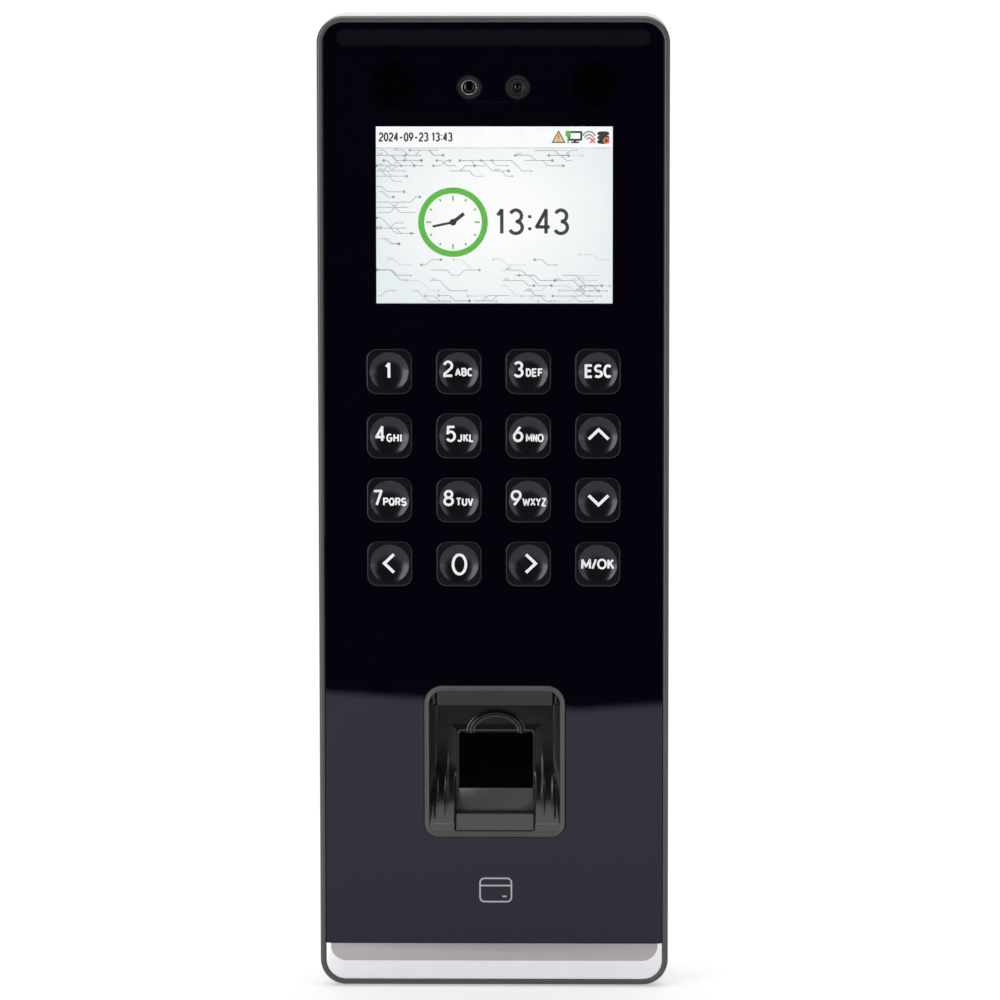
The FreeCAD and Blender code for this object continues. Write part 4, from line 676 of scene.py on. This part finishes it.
# Chevrons by key: three points about the key's centre.
CHEVRONS = {
    "key_up": [(-1.9, -0.7), (0.15, 1.3), (2.2, -0.7)],
    "key_down": [(-1.9, 0.95), (0.15, -1.05), (2.2, 0.95)],
    "key_left": [(0.85, 1.95), (-1.15, 0.05), (0.85, -1.85)],
    "key_right": [(-0.5, 1.95), (1.5, 0.05), (-0.5, -1.85)],
}
CHEVRON_LINE = 0.62
DISH_DEPTH = 0.62
DISH_POWER = 3.5
RING_POINTS = 96
# Steps from the cap's foot over its softened edge to its flat border: inset and drop.
EDGE_STEPS = ((0.0, 2.4), (0.0, 0.18), (0.025, 0.09), (0.08, 0.03), (0.16, 0.0), (0.3, 0.0))
DISH_SHARES = (0.985, 0.96, 0.92, 0.86, 0.79, 0.7, 0.6, 0.5, 0.38, 0.25, 0.12, 0.03)
LONGEST_EDGE = 0.35
INK_LIFT = 0.014


def dish_sink(x, z):
    """How far a key's face lies behind its flat border at a place about its centre."""
    share = min(math.hypot(x, z) / DISH_RADIUS, 1.0)
    return DISH_DEPTH * (1 - share ** DISH_POWER)


def square_ring(inset):
    """Points round the key's square outline at even angles."""
    half = KEY_SIDE / 2 - inset
    radius = KEY_CORNER - inset * 0.5
    points = []
    for step in range(RING_POINTS):
        angle = TURN * step / RING_POINTS
        across, up = math.cos(angle), math.sin(angle)
        near, far = 0.0, KEY_SIDE
        for _ in range(40):
            middle = (near + far) / 2
            over_x = max(abs(across * middle) - half + radius, 0)
            over_z = max(abs(up * middle) - half + radius, 0)
            inside = math.hypot(over_x, over_z) < radius
            near, far = (middle, far) if inside else (near, middle)
        points.append((across * near, up * near))
    return points


def make_key(name):
    """A square cap with softened edges round a shallow, polished dish."""
    box = Box(name)
    steps = [(square_ring(inset), drop) for inset, drop in EDGE_STEPS]
    steps.append((circle(0, 0, DISH_RADIUS + 0.05, RING_POINTS), 0.0))
    for share in (1.0, *DISH_SHARES):
        radius = DISH_RADIUS * share
        steps.append((circle(0, 0, radius, RING_POINTS), dish_sink(radius, 0)))
    rings = [[place(box.x + x, box.front - drop, box.z + z) for x, z in outline]
             for outline, drop in steps]
    piece = solid(name + "_cap", lofted(rings), KEY_PLASTIC, 40, name + "_cap")
    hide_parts(name)
    make_legend(name, box)


def make_legend(name, box):
    """White lettering that follows the dish."""
    parts = [part for legend in LEGENDS.get(name, []) for part in lettering(*legend)]
    if name in CHEVRONS:
        parts.append(stroke_mesh(CHEVRONS[name], CHEVRON_LINE))
    mesh = raw_mesh(name + "_legend", joined(parts))
    with editing(mesh) as work:
        bmesh.ops.triangulate(work, faces=work.faces)
        for _ in range(3):
            long_edges = [edge for edge in work.edges if edge.calc_length() > LONGEST_EDGE * MM]
            bmesh.ops.subdivide_edges(work, edges=long_edges, cuts=1)
            bmesh.ops.triangulate(work, faces=work.faces)
        bmesh.ops.recalc_face_normals(work, faces=work.faces)
        for vertex in work.verts:
            x, z = vertex.co.x / MM, vertex.co.z / MM
            vertex.co = place(box.x + x, box.front - dish_sink(x, z) + INK_LIFT, box.z + z)
    finish_piece(name + "_legend", mesh, WHITE_INK, body=name + "_cap")


# ---- display
PAGE = glowing("page_white", (0.97, 0.97, 0.98))
INK = glowing("page_ink", (0.012, 0.010, 0.011))
AMBER_PAGE = glowing("page_amber", (0.72, 0.56, 0.22))
TRACE = glowing("page_trace", (0.32, 0.32, 0.36), 0.3, 6.0)
PALE_TRACE = glowing("page_trace_pale", (0.62, 0.62, 0.66), 0.1, 6.0)
GREEN = glowing("page_green", (0.075, 0.46, 0.022))
RED_INK = glowing("page_red", (0.85, 0.13, 0.06))
GREY_PAGE = glowing("page_grey", (0.30, 0.30, 0.31))
STATUS_HEIGHT = 4.5
PAGE_LEFT, PAGE_RIGHT = SCREEN[0] - SCREEN_WIDTH / 2, SCREEN[0] + SCREEN_WIDTH / 2
PAGE_TOP = SCREEN[1] + SCREEN_HEIGHT / 2


def flat_rect(left, right, low, high):
    return filled([(left, low), (right, low), (right, high), (left, high)])


def on_screen(name, parts, depth, material, thick=0.012):
    printed(name, parts, depth, material, thick)


def make_screen():
    """The lit page, its status bar and a plain clock in the middle."""
    depth, bar = PANEL.front, PAGE_TOP - STATUS_HEIGHT
    page = panel("screen_page", [rounded(*SCREEN, PANEL.width, PANEL.height, 0.3)], PANEL.back,
                 depth, 0.0, screen_backdrop())
    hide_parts("lcd_panel")
    on_screen("screen_status_bar", [flat_rect(PAGE_LEFT, PAGE_RIGHT, bar, PAGE_TOP)], depth, PAGE)
    on_screen("screen_status_line", [flat_rect(PAGE_LEFT, PAGE_RIGHT, bar - 0.1, bar)],
              depth + 0.004, TRACE)
    date = lettering("2024-09-23 13:43", PAGE_LEFT + 0.5, PAGE_LEFT + 15.85, PAGE_TOP - 3.25,
                     PAGE_TOP - 1.3, 0.33, 0.42)
    on_screen("screen_date", date, depth + 0.015, INK)
    make_status_icons(depth + 0.015)
    make_traces(depth)
    make_clock_emblem(depth + 0.02)


# Distances of the four status signs from the page's right edge.
SIGN_PLACES = (11.2, 7.9, 4.9, 1.95)
LAYER = 0.014


def make_status_icons(depth):
    """Four plain status signs: warning, network, radio off and store off."""
    warning, network, radio, store = [PAGE_RIGHT - inset for inset in SIGN_PLACES]
    z = PAGE_TOP - STATUS_HEIGHT / 2

    def sign(name, parts, material, layer=0):
        on_screen("sign_" + name, parts, depth + layer * LAYER, material)

    def plate(x, left, right, low, high):
        return flat_rect(x + left, x + right, z + low, z + high)

    corners = [(warning - 1.3, z - 1.15), (warning + 1.3, z - 1.15), (warning, z + 1.2)]
    sign("warning_face", [filled(corners)], AMBER_PAGE)
    sign("warning_edge", [stroke_mesh(corners, 0.26, closed=True)], INK, 1)
    sign("warning", [stroke_mesh([(warning, z + 0.5), (warning, z - 0.4)], 0.36),
                     disc_mesh(warning, z - 0.76, 0.19)], RED_INK, 2)
    display = rounded(network + 0.15, z + 0.2, 2.5, 1.6, 0.12, steps=3)
    sign("display", [stroke_mesh(display, 0.42, closed=True),
                     plate(network, -0.7, 0.9, -1.3, -0.95),
                     plate(network, -0.15, 0.35, -1.0, -0.5)], INK)
    sign("display_link", [plate(network, -1.85, -0.75, 0.05, 1.25),
                          plate(network, -1.5, -1.15, -1.3, 0.1)], GREEN, 1)
    sign("radio", [stroke_mesh(arc(radio, z - 0.95, reach * 0.8, reach, 145, 35, 8), 0.34)
                   for reach in (0.75, 1.4, 2.05)], GREY_PAGE)
    sign("radio_off", [stroke_mesh([(radio + 0.2, z - 0.75 - up), (radio + 1.3, z - 0.75 + up)],
                                   0.34) for up in (0.5, -0.5)], RED_INK, 1)
    drum = []
    for level in (-0.82, 0.02, 0.86):
        for oval in (level, level - 0.36):
            drum.append(filled(arc(store, z + oval, 1.22, 0.3, 0, 342, 19)))
        drum.append(plate(store, -1.22, 1.22, level - 0.36, level))
    sign("store", drum, INK)
    cover = circle(store + 0.65, z - 0.75, 0.5, 16)
    sign("store_off", [stroke_mesh(cover, 0.36, closed=True)], RED_INK, 1)


TRACE_COUNT = 92
TRACE_LINE = 0.13
TRACE_PITCH = 1.08
# The page below the status bar, and the part of it kept free for the clock: left, right and
# drops from the bar.
PAGE_DROP = 32.4
CLOCK_SPACE = (9, 41.5, 6.5, 22.5)


def trace_run(x, z, first, slope, second, dots):
    """A circuit run: level, then diagonal, then level, with small dots at its ends."""
    turn_x = x + first + abs(slope)
    points = [(x, z), (x + first, z), (turn_x, z + slope), (turn_x + second, z + slope)]
    parts = [stroke_mesh(points, TRACE_LINE)]
    for end, radius in zip((points[0], points[-1]), dots):
        if radius:
            parts.append(disc_mesh(*end, radius, 14))
    return parts


def make_traces(depth):
    """Thin circuit runs, dense at the upper left and the lower right, as page decoration."""
    left, top = PAGE_LEFT + 0.05, PAGE_TOP - STATUS_HEIGHT
    space_left, space_right, space_high, space_low = CLOCK_SPACE
    chance = random.Random(23)
    runs = {"strong": [], "pale": []}
    placed = 0
    while placed < TRACE_COUNT:
        row = min(chance.expovariate(0.13), 29)
        x, drop = chance.expovariate(0.06) - 3.0, 0.5 + TRACE_PITCH * int(row)
        first, turns = chance.uniform(0.6, 4.4), chance.choice((-2, -1, -1, 1))
        second, slope = chance.uniform(0.8, 3.6), turns * TRACE_PITCH
        length = first + abs(slope) + second
        if placed % 2:
            x, drop = SCREEN_WIDTH - x - length, PAGE_DROP - drop
        x = max(x, 0.0)
        high, low = min(drop, drop - slope), max(drop, drop - slope)
        over_clock = x < space_right and x + length > space_left
        over_clock = over_clock and low > space_high and high < space_low
        if over_clock or high < 0.3 or low > PAGE_DROP or x + length > SCREEN_WIDTH - 0.4:
            continue
        placed += 1
        dots = (chance.choice((0, 0, 0.28)), chance.choice((0.12, 0.16, 0.3)))
        parts = runs["strong" if placed % 4 else "pale"]
        parts += trace_run(left + x, top - drop, first, slope, second, dots)
        if placed % 5 == 0:
            for step in range(3):
                tick_x, tick_z = left + x + 0.3 + step * 0.36, top - drop + 0.16
                tick = [(tick_x, tick_z), (tick_x + 0.24, tick_z + 0.34)]
                parts.append(stroke_mesh(tick, TRACE_LINE))
    on_screen("screen_traces", runs["strong"], depth, TRACE, 0.006)
    on_screen("screen_traces_pale", runs["pale"], depth, PALE_TRACE, 0.004)


def make_clock_emblem(depth):
    """A round clock face beside the hour in figures."""
    x, z, radius = SCREEN[0] - 8.6, SCREEN[1] - 1.6, 6.6

    def spoke(share, start, end, line):
        across, up = math.sin(TURN * share), math.cos(TURN * share)
        return stroke_mesh([(x + start * across, z + start * up), (x + end * across, z + end * up)],
                           line)

    dial = [stroke_mesh(circle(x, z, radius, 72), 1.25, closed=True)]
    dial += [spoke(hour / 12, radius - (1.6 if hour % 3 else 2.1), radius - 1.05, 0.32)
             for hour in range(12)]
    on_screen("emblem_dial", dial, depth, GREEN)
    hands = [spoke(13.72 % 12 / 12, -0.6, 2.9, 0.75), spoke(43 / 60, -0.6, 4.3, 0.5),
             disc_mesh(x, z, 0.7)]
    on_screen("emblem_hands", hands, depth, INK)
    figures = lettering("13:43", x + radius + 2.2, x + radius + 17.6, z - 2.7, z + 2.9, 0.72)
    on_screen("emblem_figures", figures, depth, INK)


# ---- cameras
def lathe(name, box, profile, material, closed=False):
    """A round part about a camera's axis, from (radius, depth) points."""
    rings = [[place(x, depth, z) for x, z in circle(box.x, box.z, max(radius, 0.002))]
             for radius, depth in profile]
    return solid(name, lofted(rings, closed), material)


def make_cameras():
    """Two stepped lens barrels in their round openings, with domed glasses and thin rings."""
    front = LENS.front - 0.04
    left, right = Box("camera_left"), Box("camera_right")
    for side, box, inner in (("left", left, 1.28), ("right", right, 0.8)):
        profile = [(2.4, box.back)]
        profile += behind(front, [(2.4, 0.08), (2.33, 0), (inner + 0.28, 0), (inner + 0.2, 0.03),
                                  (inner, 0.5), (inner, 1.3)])
        barrel = lathe("camera_barrel_" + side, box, profile, BARREL)
        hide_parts("camera_" + side)
        dome = arc(0, front - 0.75, inner, 0.35, 0, 90)
        lathe("camera_glass_" + side, box, [(inner, front - 0.9)] + dome, BLACK_WINDOW)
    profile = behind(front, [(1.56, 0.06), (1.54, -0.015), (1.47, -0.03), (1.38, 0.03),
                             (1.32, 0.2)])
    lathe("camera_ring_left", left, profile, RING, closed=True)
    for number, middle in enumerate((1.75, 1.15)):
        profile = behind(front, [(middle + 0.1, 0.06), (middle + 0.08, -0.01), (middle, -0.03),
                                 (middle - 0.08, -0.01), (middle - 0.1, 0.06)])
        lathe("camera_ring_right_%d" % number, right, profile, BLACK_WINDOW, closed=True)


# ---- fingerprint module
def smooth_step(value, low, high):
    share = min(max((value - low) / (high - low), 0.0), 1.0)
    return share * share * (3 - 2 * share)


def higher(first, second, blend):
    """The greater of two depths, with a soft change between them."""
    return (first + second + math.sqrt((first - second) ** 2 + blend ** 2)) / 2


SENSOR = Box("sensor_prism")
SENSOR_X = FINGER.x + 0.2
SENSOR_WIDTH = 15.8
SENSOR_TILT = 0.037
# Top of the grey strip that stands in for the window's reflection: painted reflection.
REFLECTION_STRIP_TOP = SENSOR.low + 5.1
WELL_MOUTH = FINGER.front - 0.12
WELL_BACK = 17.2
WELL_TOP, WELL_LOW = FINGER.z + 15.05, FINGER.z - 14.95
WELL_HALF = 13.7
WELL_COLUMNS, WELL_ROWS = 230, 250
# Slopes and the soft joins between surfaces: rise for one millimetre, and blend width.
UNDERCUT = 30
WALL_SLOPE = 0.48
SOFT = 0.1
WALL_LOW = WELL_TOP - 3.55
# The frame round the window, and the arch over it.
FRAME_HALF, FRAME_SPREAD, FRAME_RISE = 7.95, 1.75, 0.13
ARCH_HALF, ARCH_TALL, ARCH_MEAN = 5.35, 3.95, 4.6
ARCH_RISE, ARCH_LINE = 0.5, 0.42
# The ramp below the window.
RAMP_TOP, RAMP_LOW = SENSOR.low + 0.25, WELL_LOW + 0.15
RAMP_LIP = 0.45
RAMP_SLOPE = 0.85
RAMP_EDGE = (8.05, 8.6)
# The fluted strips beside the middle: where they end, their height and curve, and two ridges.
TERRACE_LOW = WELL_LOW + 1.5
TERRACE_EDGE = (9.7, 10.05)
TERRACE_TALL = 13.0
TERRACE_CURVE = 2.4
RIDGES = (10.15, 12.3)
RIDGE_RISE, RIDGE_LINE = 0.2, 0.36
# The groove at each end of the top wall, and the steep side walls.
NOTCH_EDGE = (12.1, 12.5)
NOTCH_DEPTH = 1.6
SIDE_START, SIDE_DEPTH, SIDE_SLOPE = 12.55, 18.2, 5.4


def sensor_depth(z):
    return SENSOR.front - 0.4 - (z - SENSOR.low) * SENSOR_TILT


def floor_depth(z):
    return sensor_depth(z) + 0.04


def wall_depth(z):
    """The top wall: a gentle slope that faces down, cut off by an undercut."""
    return WELL_MOUTH - 0.1 - (WELL_TOP - z) * WALL_SLOPE - max(WALL_LOW - z, 0) * UNDERCUT


def middle_depth(x, z):
    """The strip down the middle: top wall, floor, frame round the window, and the ramp."""
    depth = higher(wall_depth(z), floor_depth(z), SOFT)
    aside, above = x + FINGER.x - SENSOR_X, z - SENSOR.high
    if abs(aside) < 9.8 and above < 2:
        outside = max(abs(aside) - FRAME_HALF, above, 0)
        depth += (1 - smooth_step(outside, 0.0, FRAME_SPREAD)) * FRAME_RISE
    if above > -0.3:
        off_line = (math.hypot(aside / ARCH_HALF, above / ARCH_TALL) - 1) * ARCH_MEAN
        depth += ARCH_RISE * math.exp(-(off_line / ARCH_LINE) ** 2)
    ramp = WELL_MOUTH - RAMP_LIP - (z - RAMP_LOW) * RAMP_SLOPE
    ramp += (max(RAMP_LOW - z, 0) - max(z - RAMP_TOP, 0)) * UNDERCUT
    return higher(depth, ramp, 0.08)


def terrace_depth(across, z):
    """The fluted strips beside the middle: level above, then rising in a long curve."""
    level = floor_depth(z) + 0.5 * smooth_step(-z, 50.0, 64.0)
    bend = min(max((TERRACE_LOW + TERRACE_TALL - z) / TERRACE_TALL, 0), 1)
    curve = level + (WELL_MOUTH - level) * bend ** TERRACE_CURVE
    fade = smooth_step(-z, 54.0, 63.0) * smooth_step(z, TERRACE_LOW, TERRACE_LOW + 2)
    for ridge in RIDGES:
        curve += RIDGE_RISE * fade * math.exp(-((across - ridge) / RIDGE_LINE) ** 2)
    return higher(wall_depth(z), curve, SOFT)


def well_depth(x, z):
    """Depth of the well's surface at a place across from its centre line."""
    across = abs(x)
    by_ramp = smooth_step(across, *RAMP_EDGE) * smooth_step(RAMP_TOP + 11 - z, 0, 6)
    share = max(smooth_step(across, *TERRACE_EDGE), by_ramp)
    depth = middle_depth(x, z)
    depth += (terrace_depth(across, z) - depth) * share
    in_wall = smooth_step(z, WALL_LOW - 0.2, WALL_LOW)
    depth -= NOTCH_DEPTH * smooth_step(across, *NOTCH_EDGE) * in_wall
    side = SIDE_DEPTH + (across - SIDE_START) * SIDE_SLOPE
    return min(higher(depth, side, 0.2), WELL_MOUTH)


def well_half(z):
    """Half the well's width at one height: a rectangle with rounded corners."""
    for edge, radius in ((WELL_TOP, 2.8), (WELL_LOW, 1.8)):
        into = radius - abs(z - edge)
        if into > 0:
            return WELL_HALF - radius + math.sqrt(max(radius ** 2 - into ** 2, 0))
    return WELL_HALF


def well_skin():
    """The well's surface as a fine height field, closed by side walls and a flat back."""
    vertices = []
    for row in range(WELL_ROWS + 1):
        z = WELL_TOP + (WELL_LOW - WELL_TOP) * row / WELL_ROWS
        for column in range(WELL_COLUMNS + 1):
            x = well_half(z) * (2 * column / WELL_COLUMNS - 1)
            vertices.append(place(FINGER.x + x, well_depth(x, z), z))
    stride = WELL_COLUMNS + 1
    starts = [row * stride + column for row in range(WELL_ROWS) for column in range(WELL_COLUMNS)]
    faces = [(start, start + 1, start + 1 + stride, start + stride) for start in starts]
    border = list(range(stride))
    border += [row * stride + WELL_COLUMNS for row in range(1, WELL_ROWS + 1)]
    border += [WELL_ROWS * stride + column for column in range(WELL_COLUMNS - 1, -1, -1)]
    border += [row * stride for row in range(WELL_ROWS - 1, 0, -1)]
    start = len(vertices)
    vertices += [Vector((vertices[at].x, -WELL_BACK * MM, vertices[at].z)) for at in border]
    for number, index in enumerate(border):
        following = (number + 1) % len(border)
        faces.append((index, border[following], start + following, start + number))
    faces.append(tuple(range(start, len(vertices))))
    return vertices, faces


def make_finger_module():
    """A rounded rim, the sculpted well inside it, and the sensor's window."""
    front = FINGER.front
    profile = [(1.15, LENS.back), (0.0, LENS.back), (0.0, front - 0.24)]
    profile += eased((0.0, front - 0.2), (0.2, front), 5)
    profile += behind(front, [(0.4, 0), (0.48, 0.05), (0.56, 0.05), (0.64, 0), (0.82, 0),
                              (0.93, 0.04), (1.0, 0.14), (1.02, 0.5), (1.15, 0.9)])
    rings = frame_ring(FINGER.x, FINGER.z, MODULE_WIDTH, MODULE_HEIGHT, RIM_TOP_CORNER,
                       RIM_LOW_CORNER, profile)
    solid("finger_rim", lofted(rings, closed=True), GUNMETAL, 40)
    piece = solid("finger_surround", well_skin(), GUIDE_PLASTIC, 60)
    give_second_material(piece, GUNMETAL, WELL_MOUTH - 0.25, -65)
    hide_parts("finger_guide")
    make_sensor_window()


def make_sensor_window():
    """The dark glass under the fingertip, with a thin bead round it, a lighter stripe along the
    bead's top (painted highlight), and a grey strip over the glass's lower part (painted
    reflection).
    """
    tall, middle = SENSOR.high - SENSOR.low - 0.05, (SENSOR.high + SENSOR.low) / 2
    half, top = SENSOR_WIDTH / 2, SENSOR.high + 0.35

    def ring(inset, lift):
        outline = rounded(SENSOR_X, middle, SENSOR_WIDTH - 2 * inset, tall - 2 * inset,
                          max(0.6 - inset, 0.1), max(1.1 - inset, 0.1), 8)
        return [place(x, sensor_depth(z) + lift, z) for x, z in outline]

    steps = ((0.0, -0.8), (0.0, 0.14), (0.08, 0.2), (0.12, 0.2))
    piece = solid("sensor_window", lofted([ring(*step) for step in steps]), PRISM,
                  30)
    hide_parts("sensor_prism")
    steps = ((-0.1, 0.1), (-0.1, 0.24), (-0.02, 0.32), (0.08, 0.3), (0.12, 0.2), (0.1, 0.1))
    solid("sensor_bead", lofted([ring(*step) for step in steps], closed=True),
          GUIDE_PLASTIC, 60)
    # A thin bar of the lighter gunmetal along the bead's top edge: painted highlight where the edge
    # catches light from above.
    highlight_line = [(SENSOR_X - half, top - 0.75)]
    highlight_line += arc(SENSOR_X - half + 0.6, top - 0.6, 0.6, 0.6, 180, 90, 6)
    highlight_line += [(2 * SENSOR_X - x, z) for x, z in reversed(highlight_line)]
    printed("sensor_bead_painted_highlight", [stroke_mesh(highlight_line, 0.2)], sensor_depth(top) + 0.2,
            GUNMETAL, 0.2)
    # An opaque grey strip over the window's lower part: painted reflection.
    reflection_strip = rounded(SENSOR_X, (REFLECTION_STRIP_TOP + SENSOR.low) / 2 + 0.1, SENSOR_WIDTH - 0.3,
                   REFLECTION_STRIP_TOP - SENSOR.low - 0.1, 0.06, 0.95, 8)
    rings = [[place(SENSOR_X + (x - SENSOR_X) * (1 - inset / half), sensor_depth(z) + lift, z)
              for x, z in reflection_strip] for inset, lift in ((0.0, 0.12), (0.0, 0.2), (0.05, 0.225))]
    solid("sensor_window_painted_reflection", lofted(rings), WINDOW_REFLECTION_GREY, 30)


# ---- carried-over CAD parts
CAD_MATERIALS = (
    (SHELL, "rear_shell"), (SILICONE, "key_mat"), (RED, "reset_button"),
    (RUBBER, "case_seal finger_gasket"), (AMBER, "lcd_flex keypad_cable"),
    (SCREW_STEEL, "lock_screw case_screws board_screws"),
    (STEEL, "wall_plate key_switches processor_shield backup_cell"),
    (RING, "ir_reflector_left ir_reflector_right"),
    (BOARD, "keypad_board main_board sensor_board camera_board light_board antenna_board"),
    (CHIP, "camera_holder board_chips reset_switch tamper_switch speaker"),
    (NYLON, "lcd_backlight ir_leds light_diffuser light_leds tamper_plunger"),
    (NYLON, "network_header wiring_header power_header"),
)


def dress_cad_parts():
    """Give the CAD parts that stay visible their materials, with no change of shape."""
    for material, nodes in CAD_MATERIALS:
        for node in nodes.split():
            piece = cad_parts[node]
            piece.data.materials.clear()
            piece.data.materials.append(material)


# ---- stage, lights and camera
# Metres and degrees from here on.
CAMERA_DISTANCE = 1.3
CAMERA_ELEVATION = 7.245
CAMERA_AZIMUTH = 0.97
CAMERA_ROLL = -0.058
CAMERA_LENS = 220.65
CAMERA_SHIFT = (0.0044, -0.0089)
FLOOR_Z = FRAME_BOX.low * MM - 0.0004
TABLE_EDGE = 0.372
CARD_ANGLE = 17
CARD_FAR = 2.2
CARD_TOP = 3.0
CARD_SHIFT = 0.017
CARD_TAPER = 0.42
CARD_FADE = 0.014
BOX_PLACE = Vector((0.40, -0.47, 0.13))
BOX_TARGET = Vector((0, 0, 0.05))
BOX_SIZE = (0.3, 0.44)
WARM = (1, 0.94, 0.88)
SUN_TILT = -14


def plain(name, colour, roughness=0.9):
    made = Nodes(name)
    made.set(Base_Color=(*colour, 1), Roughness=roughness, Specular_IOR_Level=0.1)
    return made.material


def stage_sheet(name, corners, material):
    """A flat four-cornered piece of the stage."""
    mesh = raw_mesh(name, (corners, [(0, 1, 2, 3)]))
    mesh.materials.append(material)
    piece = linked(name, mesh)
    return piece


def reflection_only(piece):
    piece.visible_camera = False
    piece.visible_diffuse = False
    piece.visible_shadow = False
    piece.visible_transmission = False


def floor_material():
    """A pale floor that is faintly lit from below, so that shadows on it stay soft."""
    made = plain("floor_white", (0.42, 0.42, 0.425))
    glow = made.node_tree.nodes["Principled BSDF"]
    glow.inputs["Emission Color"].default_value = (0.97, 0.97, 1.0, 1)
    glow.inputs["Emission Strength"].default_value = 0.5
    return made


def make_card_material():
    """Black that fades out over the card's near edge."""
    made = Nodes("card_black")
    made.set(Base_Color=(0.003, 0.003, 0.005, 1), Roughness=0.9, Specular_IOR_Level=0.0)
    size = made.node("VectorMath", operation="ABSOLUTE")
    made.link(made.mapped_place(location=(-CARD_SHIFT, 0, 0)), size.inputs[0])
    along = made.node("VectorMath", {1: (-CARD_TAPER, 1, 0)}, operation="DOT_PRODUCT")
    made.link(size.outputs["Vector"], along.inputs[0])
    fade = made.ranged(along.outputs["Value"], 0, 1, TABLE_EDGE, TABLE_EDGE + CARD_FADE)
    made.link(fade, made.shader.inputs["Alpha"])
    return made.material


def make_stage():
    """A pale floor, and dark cards that only the glossy front can see."""
    reach = 12.0
    stage_sheet("floor", [(-reach, -reach, FLOOR_Z), (reach, -reach, FLOOR_Z),
                          (reach, reach, FLOOR_Z), (-reach, reach, FLOOR_Z)], floor_material())
    half, level = CARD_FAR * math.tan(math.radians(CARD_ANGLE)), FLOOR_Z + 0.0008
    card = [(-0.13, -0.3, level), (0.13, -0.3, level), (half, -CARD_FAR, level),
            (-half, -CARD_FAR, level)]
    reflection_only(stage_sheet("dark_floor_card", card, make_card_material()))
    wall = [(-half, -CARD_FAR, FLOOR_Z), (half, -CARD_FAR, FLOOR_Z), (half, -CARD_FAR, CARD_TOP),
            (-half, -CARD_FAR, CARD_TOP)]
    black = plain("wall_black", (0.003, 0.003, 0.006))
    reflection_only(stage_sheet("dark_back_card", wall, black))


def side_box(name, side, radiance):
    """A warm softbox on one side, given by how bright its face looks."""
    lamp = bpy.data.lights.new(name, "AREA")
    lamp.shape = "RECTANGLE"
    lamp.size, lamp.size_y = BOX_SIZE
    lamp.energy = radiance * math.pi * lamp.size * lamp.size_y
    lamp.color = WARM
    item = linked(name, lamp)
    item.location = (side * BOX_PLACE.x, BOX_PLACE.y, BOX_PLACE.z)
    item.rotation_euler = (BOX_TARGET - item.location).to_track_quat("-Z", "Y").to_euler()


def make_lights():
    """A wide soft sun from above and behind, and a tall softbox on each side."""
    sun = bpy.data.lights.new("soft_sky", "SUN")
    sun.energy = 3.7
    sun.angle = math.radians(100)
    linked("soft_sky", sun).rotation_euler = (math.radians(SUN_TILT), 0, 0)
    side_box("left_box", -1, 5.5)
    side_box("right_box", 1, 1.7)
    world = bpy.data.worlds.new("studio")
    bpy.context.scene.world = world
    world.use_nodes = True
    background = world.node_tree.nodes["Background"]
    background.inputs["Color"].default_value = (0.9, 0.93, 1.0, 1)
    background.inputs["Strength"].default_value = 0.12


def make_camera():
    data = bpy.data.cameras.new("camera")
    data.sensor_width = 36.0
    data.lens = CAMERA_LENS
    data.shift_x, data.shift_y = CAMERA_SHIFT
    data.clip_start, data.clip_end = 0.05, 50.0
    camera = linked("camera", data)
    elevation, azimuth = math.radians(CAMERA_ELEVATION), math.radians(CAMERA_AZIMUTH)
    back = Vector((math.sin(azimuth) * math.cos(elevation),
                   -math.cos(azimuth) * math.cos(elevation), math.sin(elevation)))
    right = Vector((0, 0, 1)).cross(back).normalized()
    up = back.cross(right)
    roll = math.radians(CAMERA_ROLL)
    rolled_right = right * math.cos(roll) + up * math.sin(roll)
    rolled_up = up * math.cos(roll) - right * math.sin(roll)
    turn = Matrix((rolled_right, rolled_up, back)).transposed().to_4x4()
    camera.matrix_world = Matrix.Translation(back * CAMERA_DISTANCE) @ turn
    bpy.context.scene.camera = camera


make_camera()
make_stage()
make_lights()
bpy.context.scene.view_settings.view_transform = "Standard"
make_bezel()
make_glass()
make_card_symbol()
make_chin()
for key_name in KEYS:
    make_key(key_name)
make_screen()
make_cameras()
make_finger_module()
dress_cad_parts()
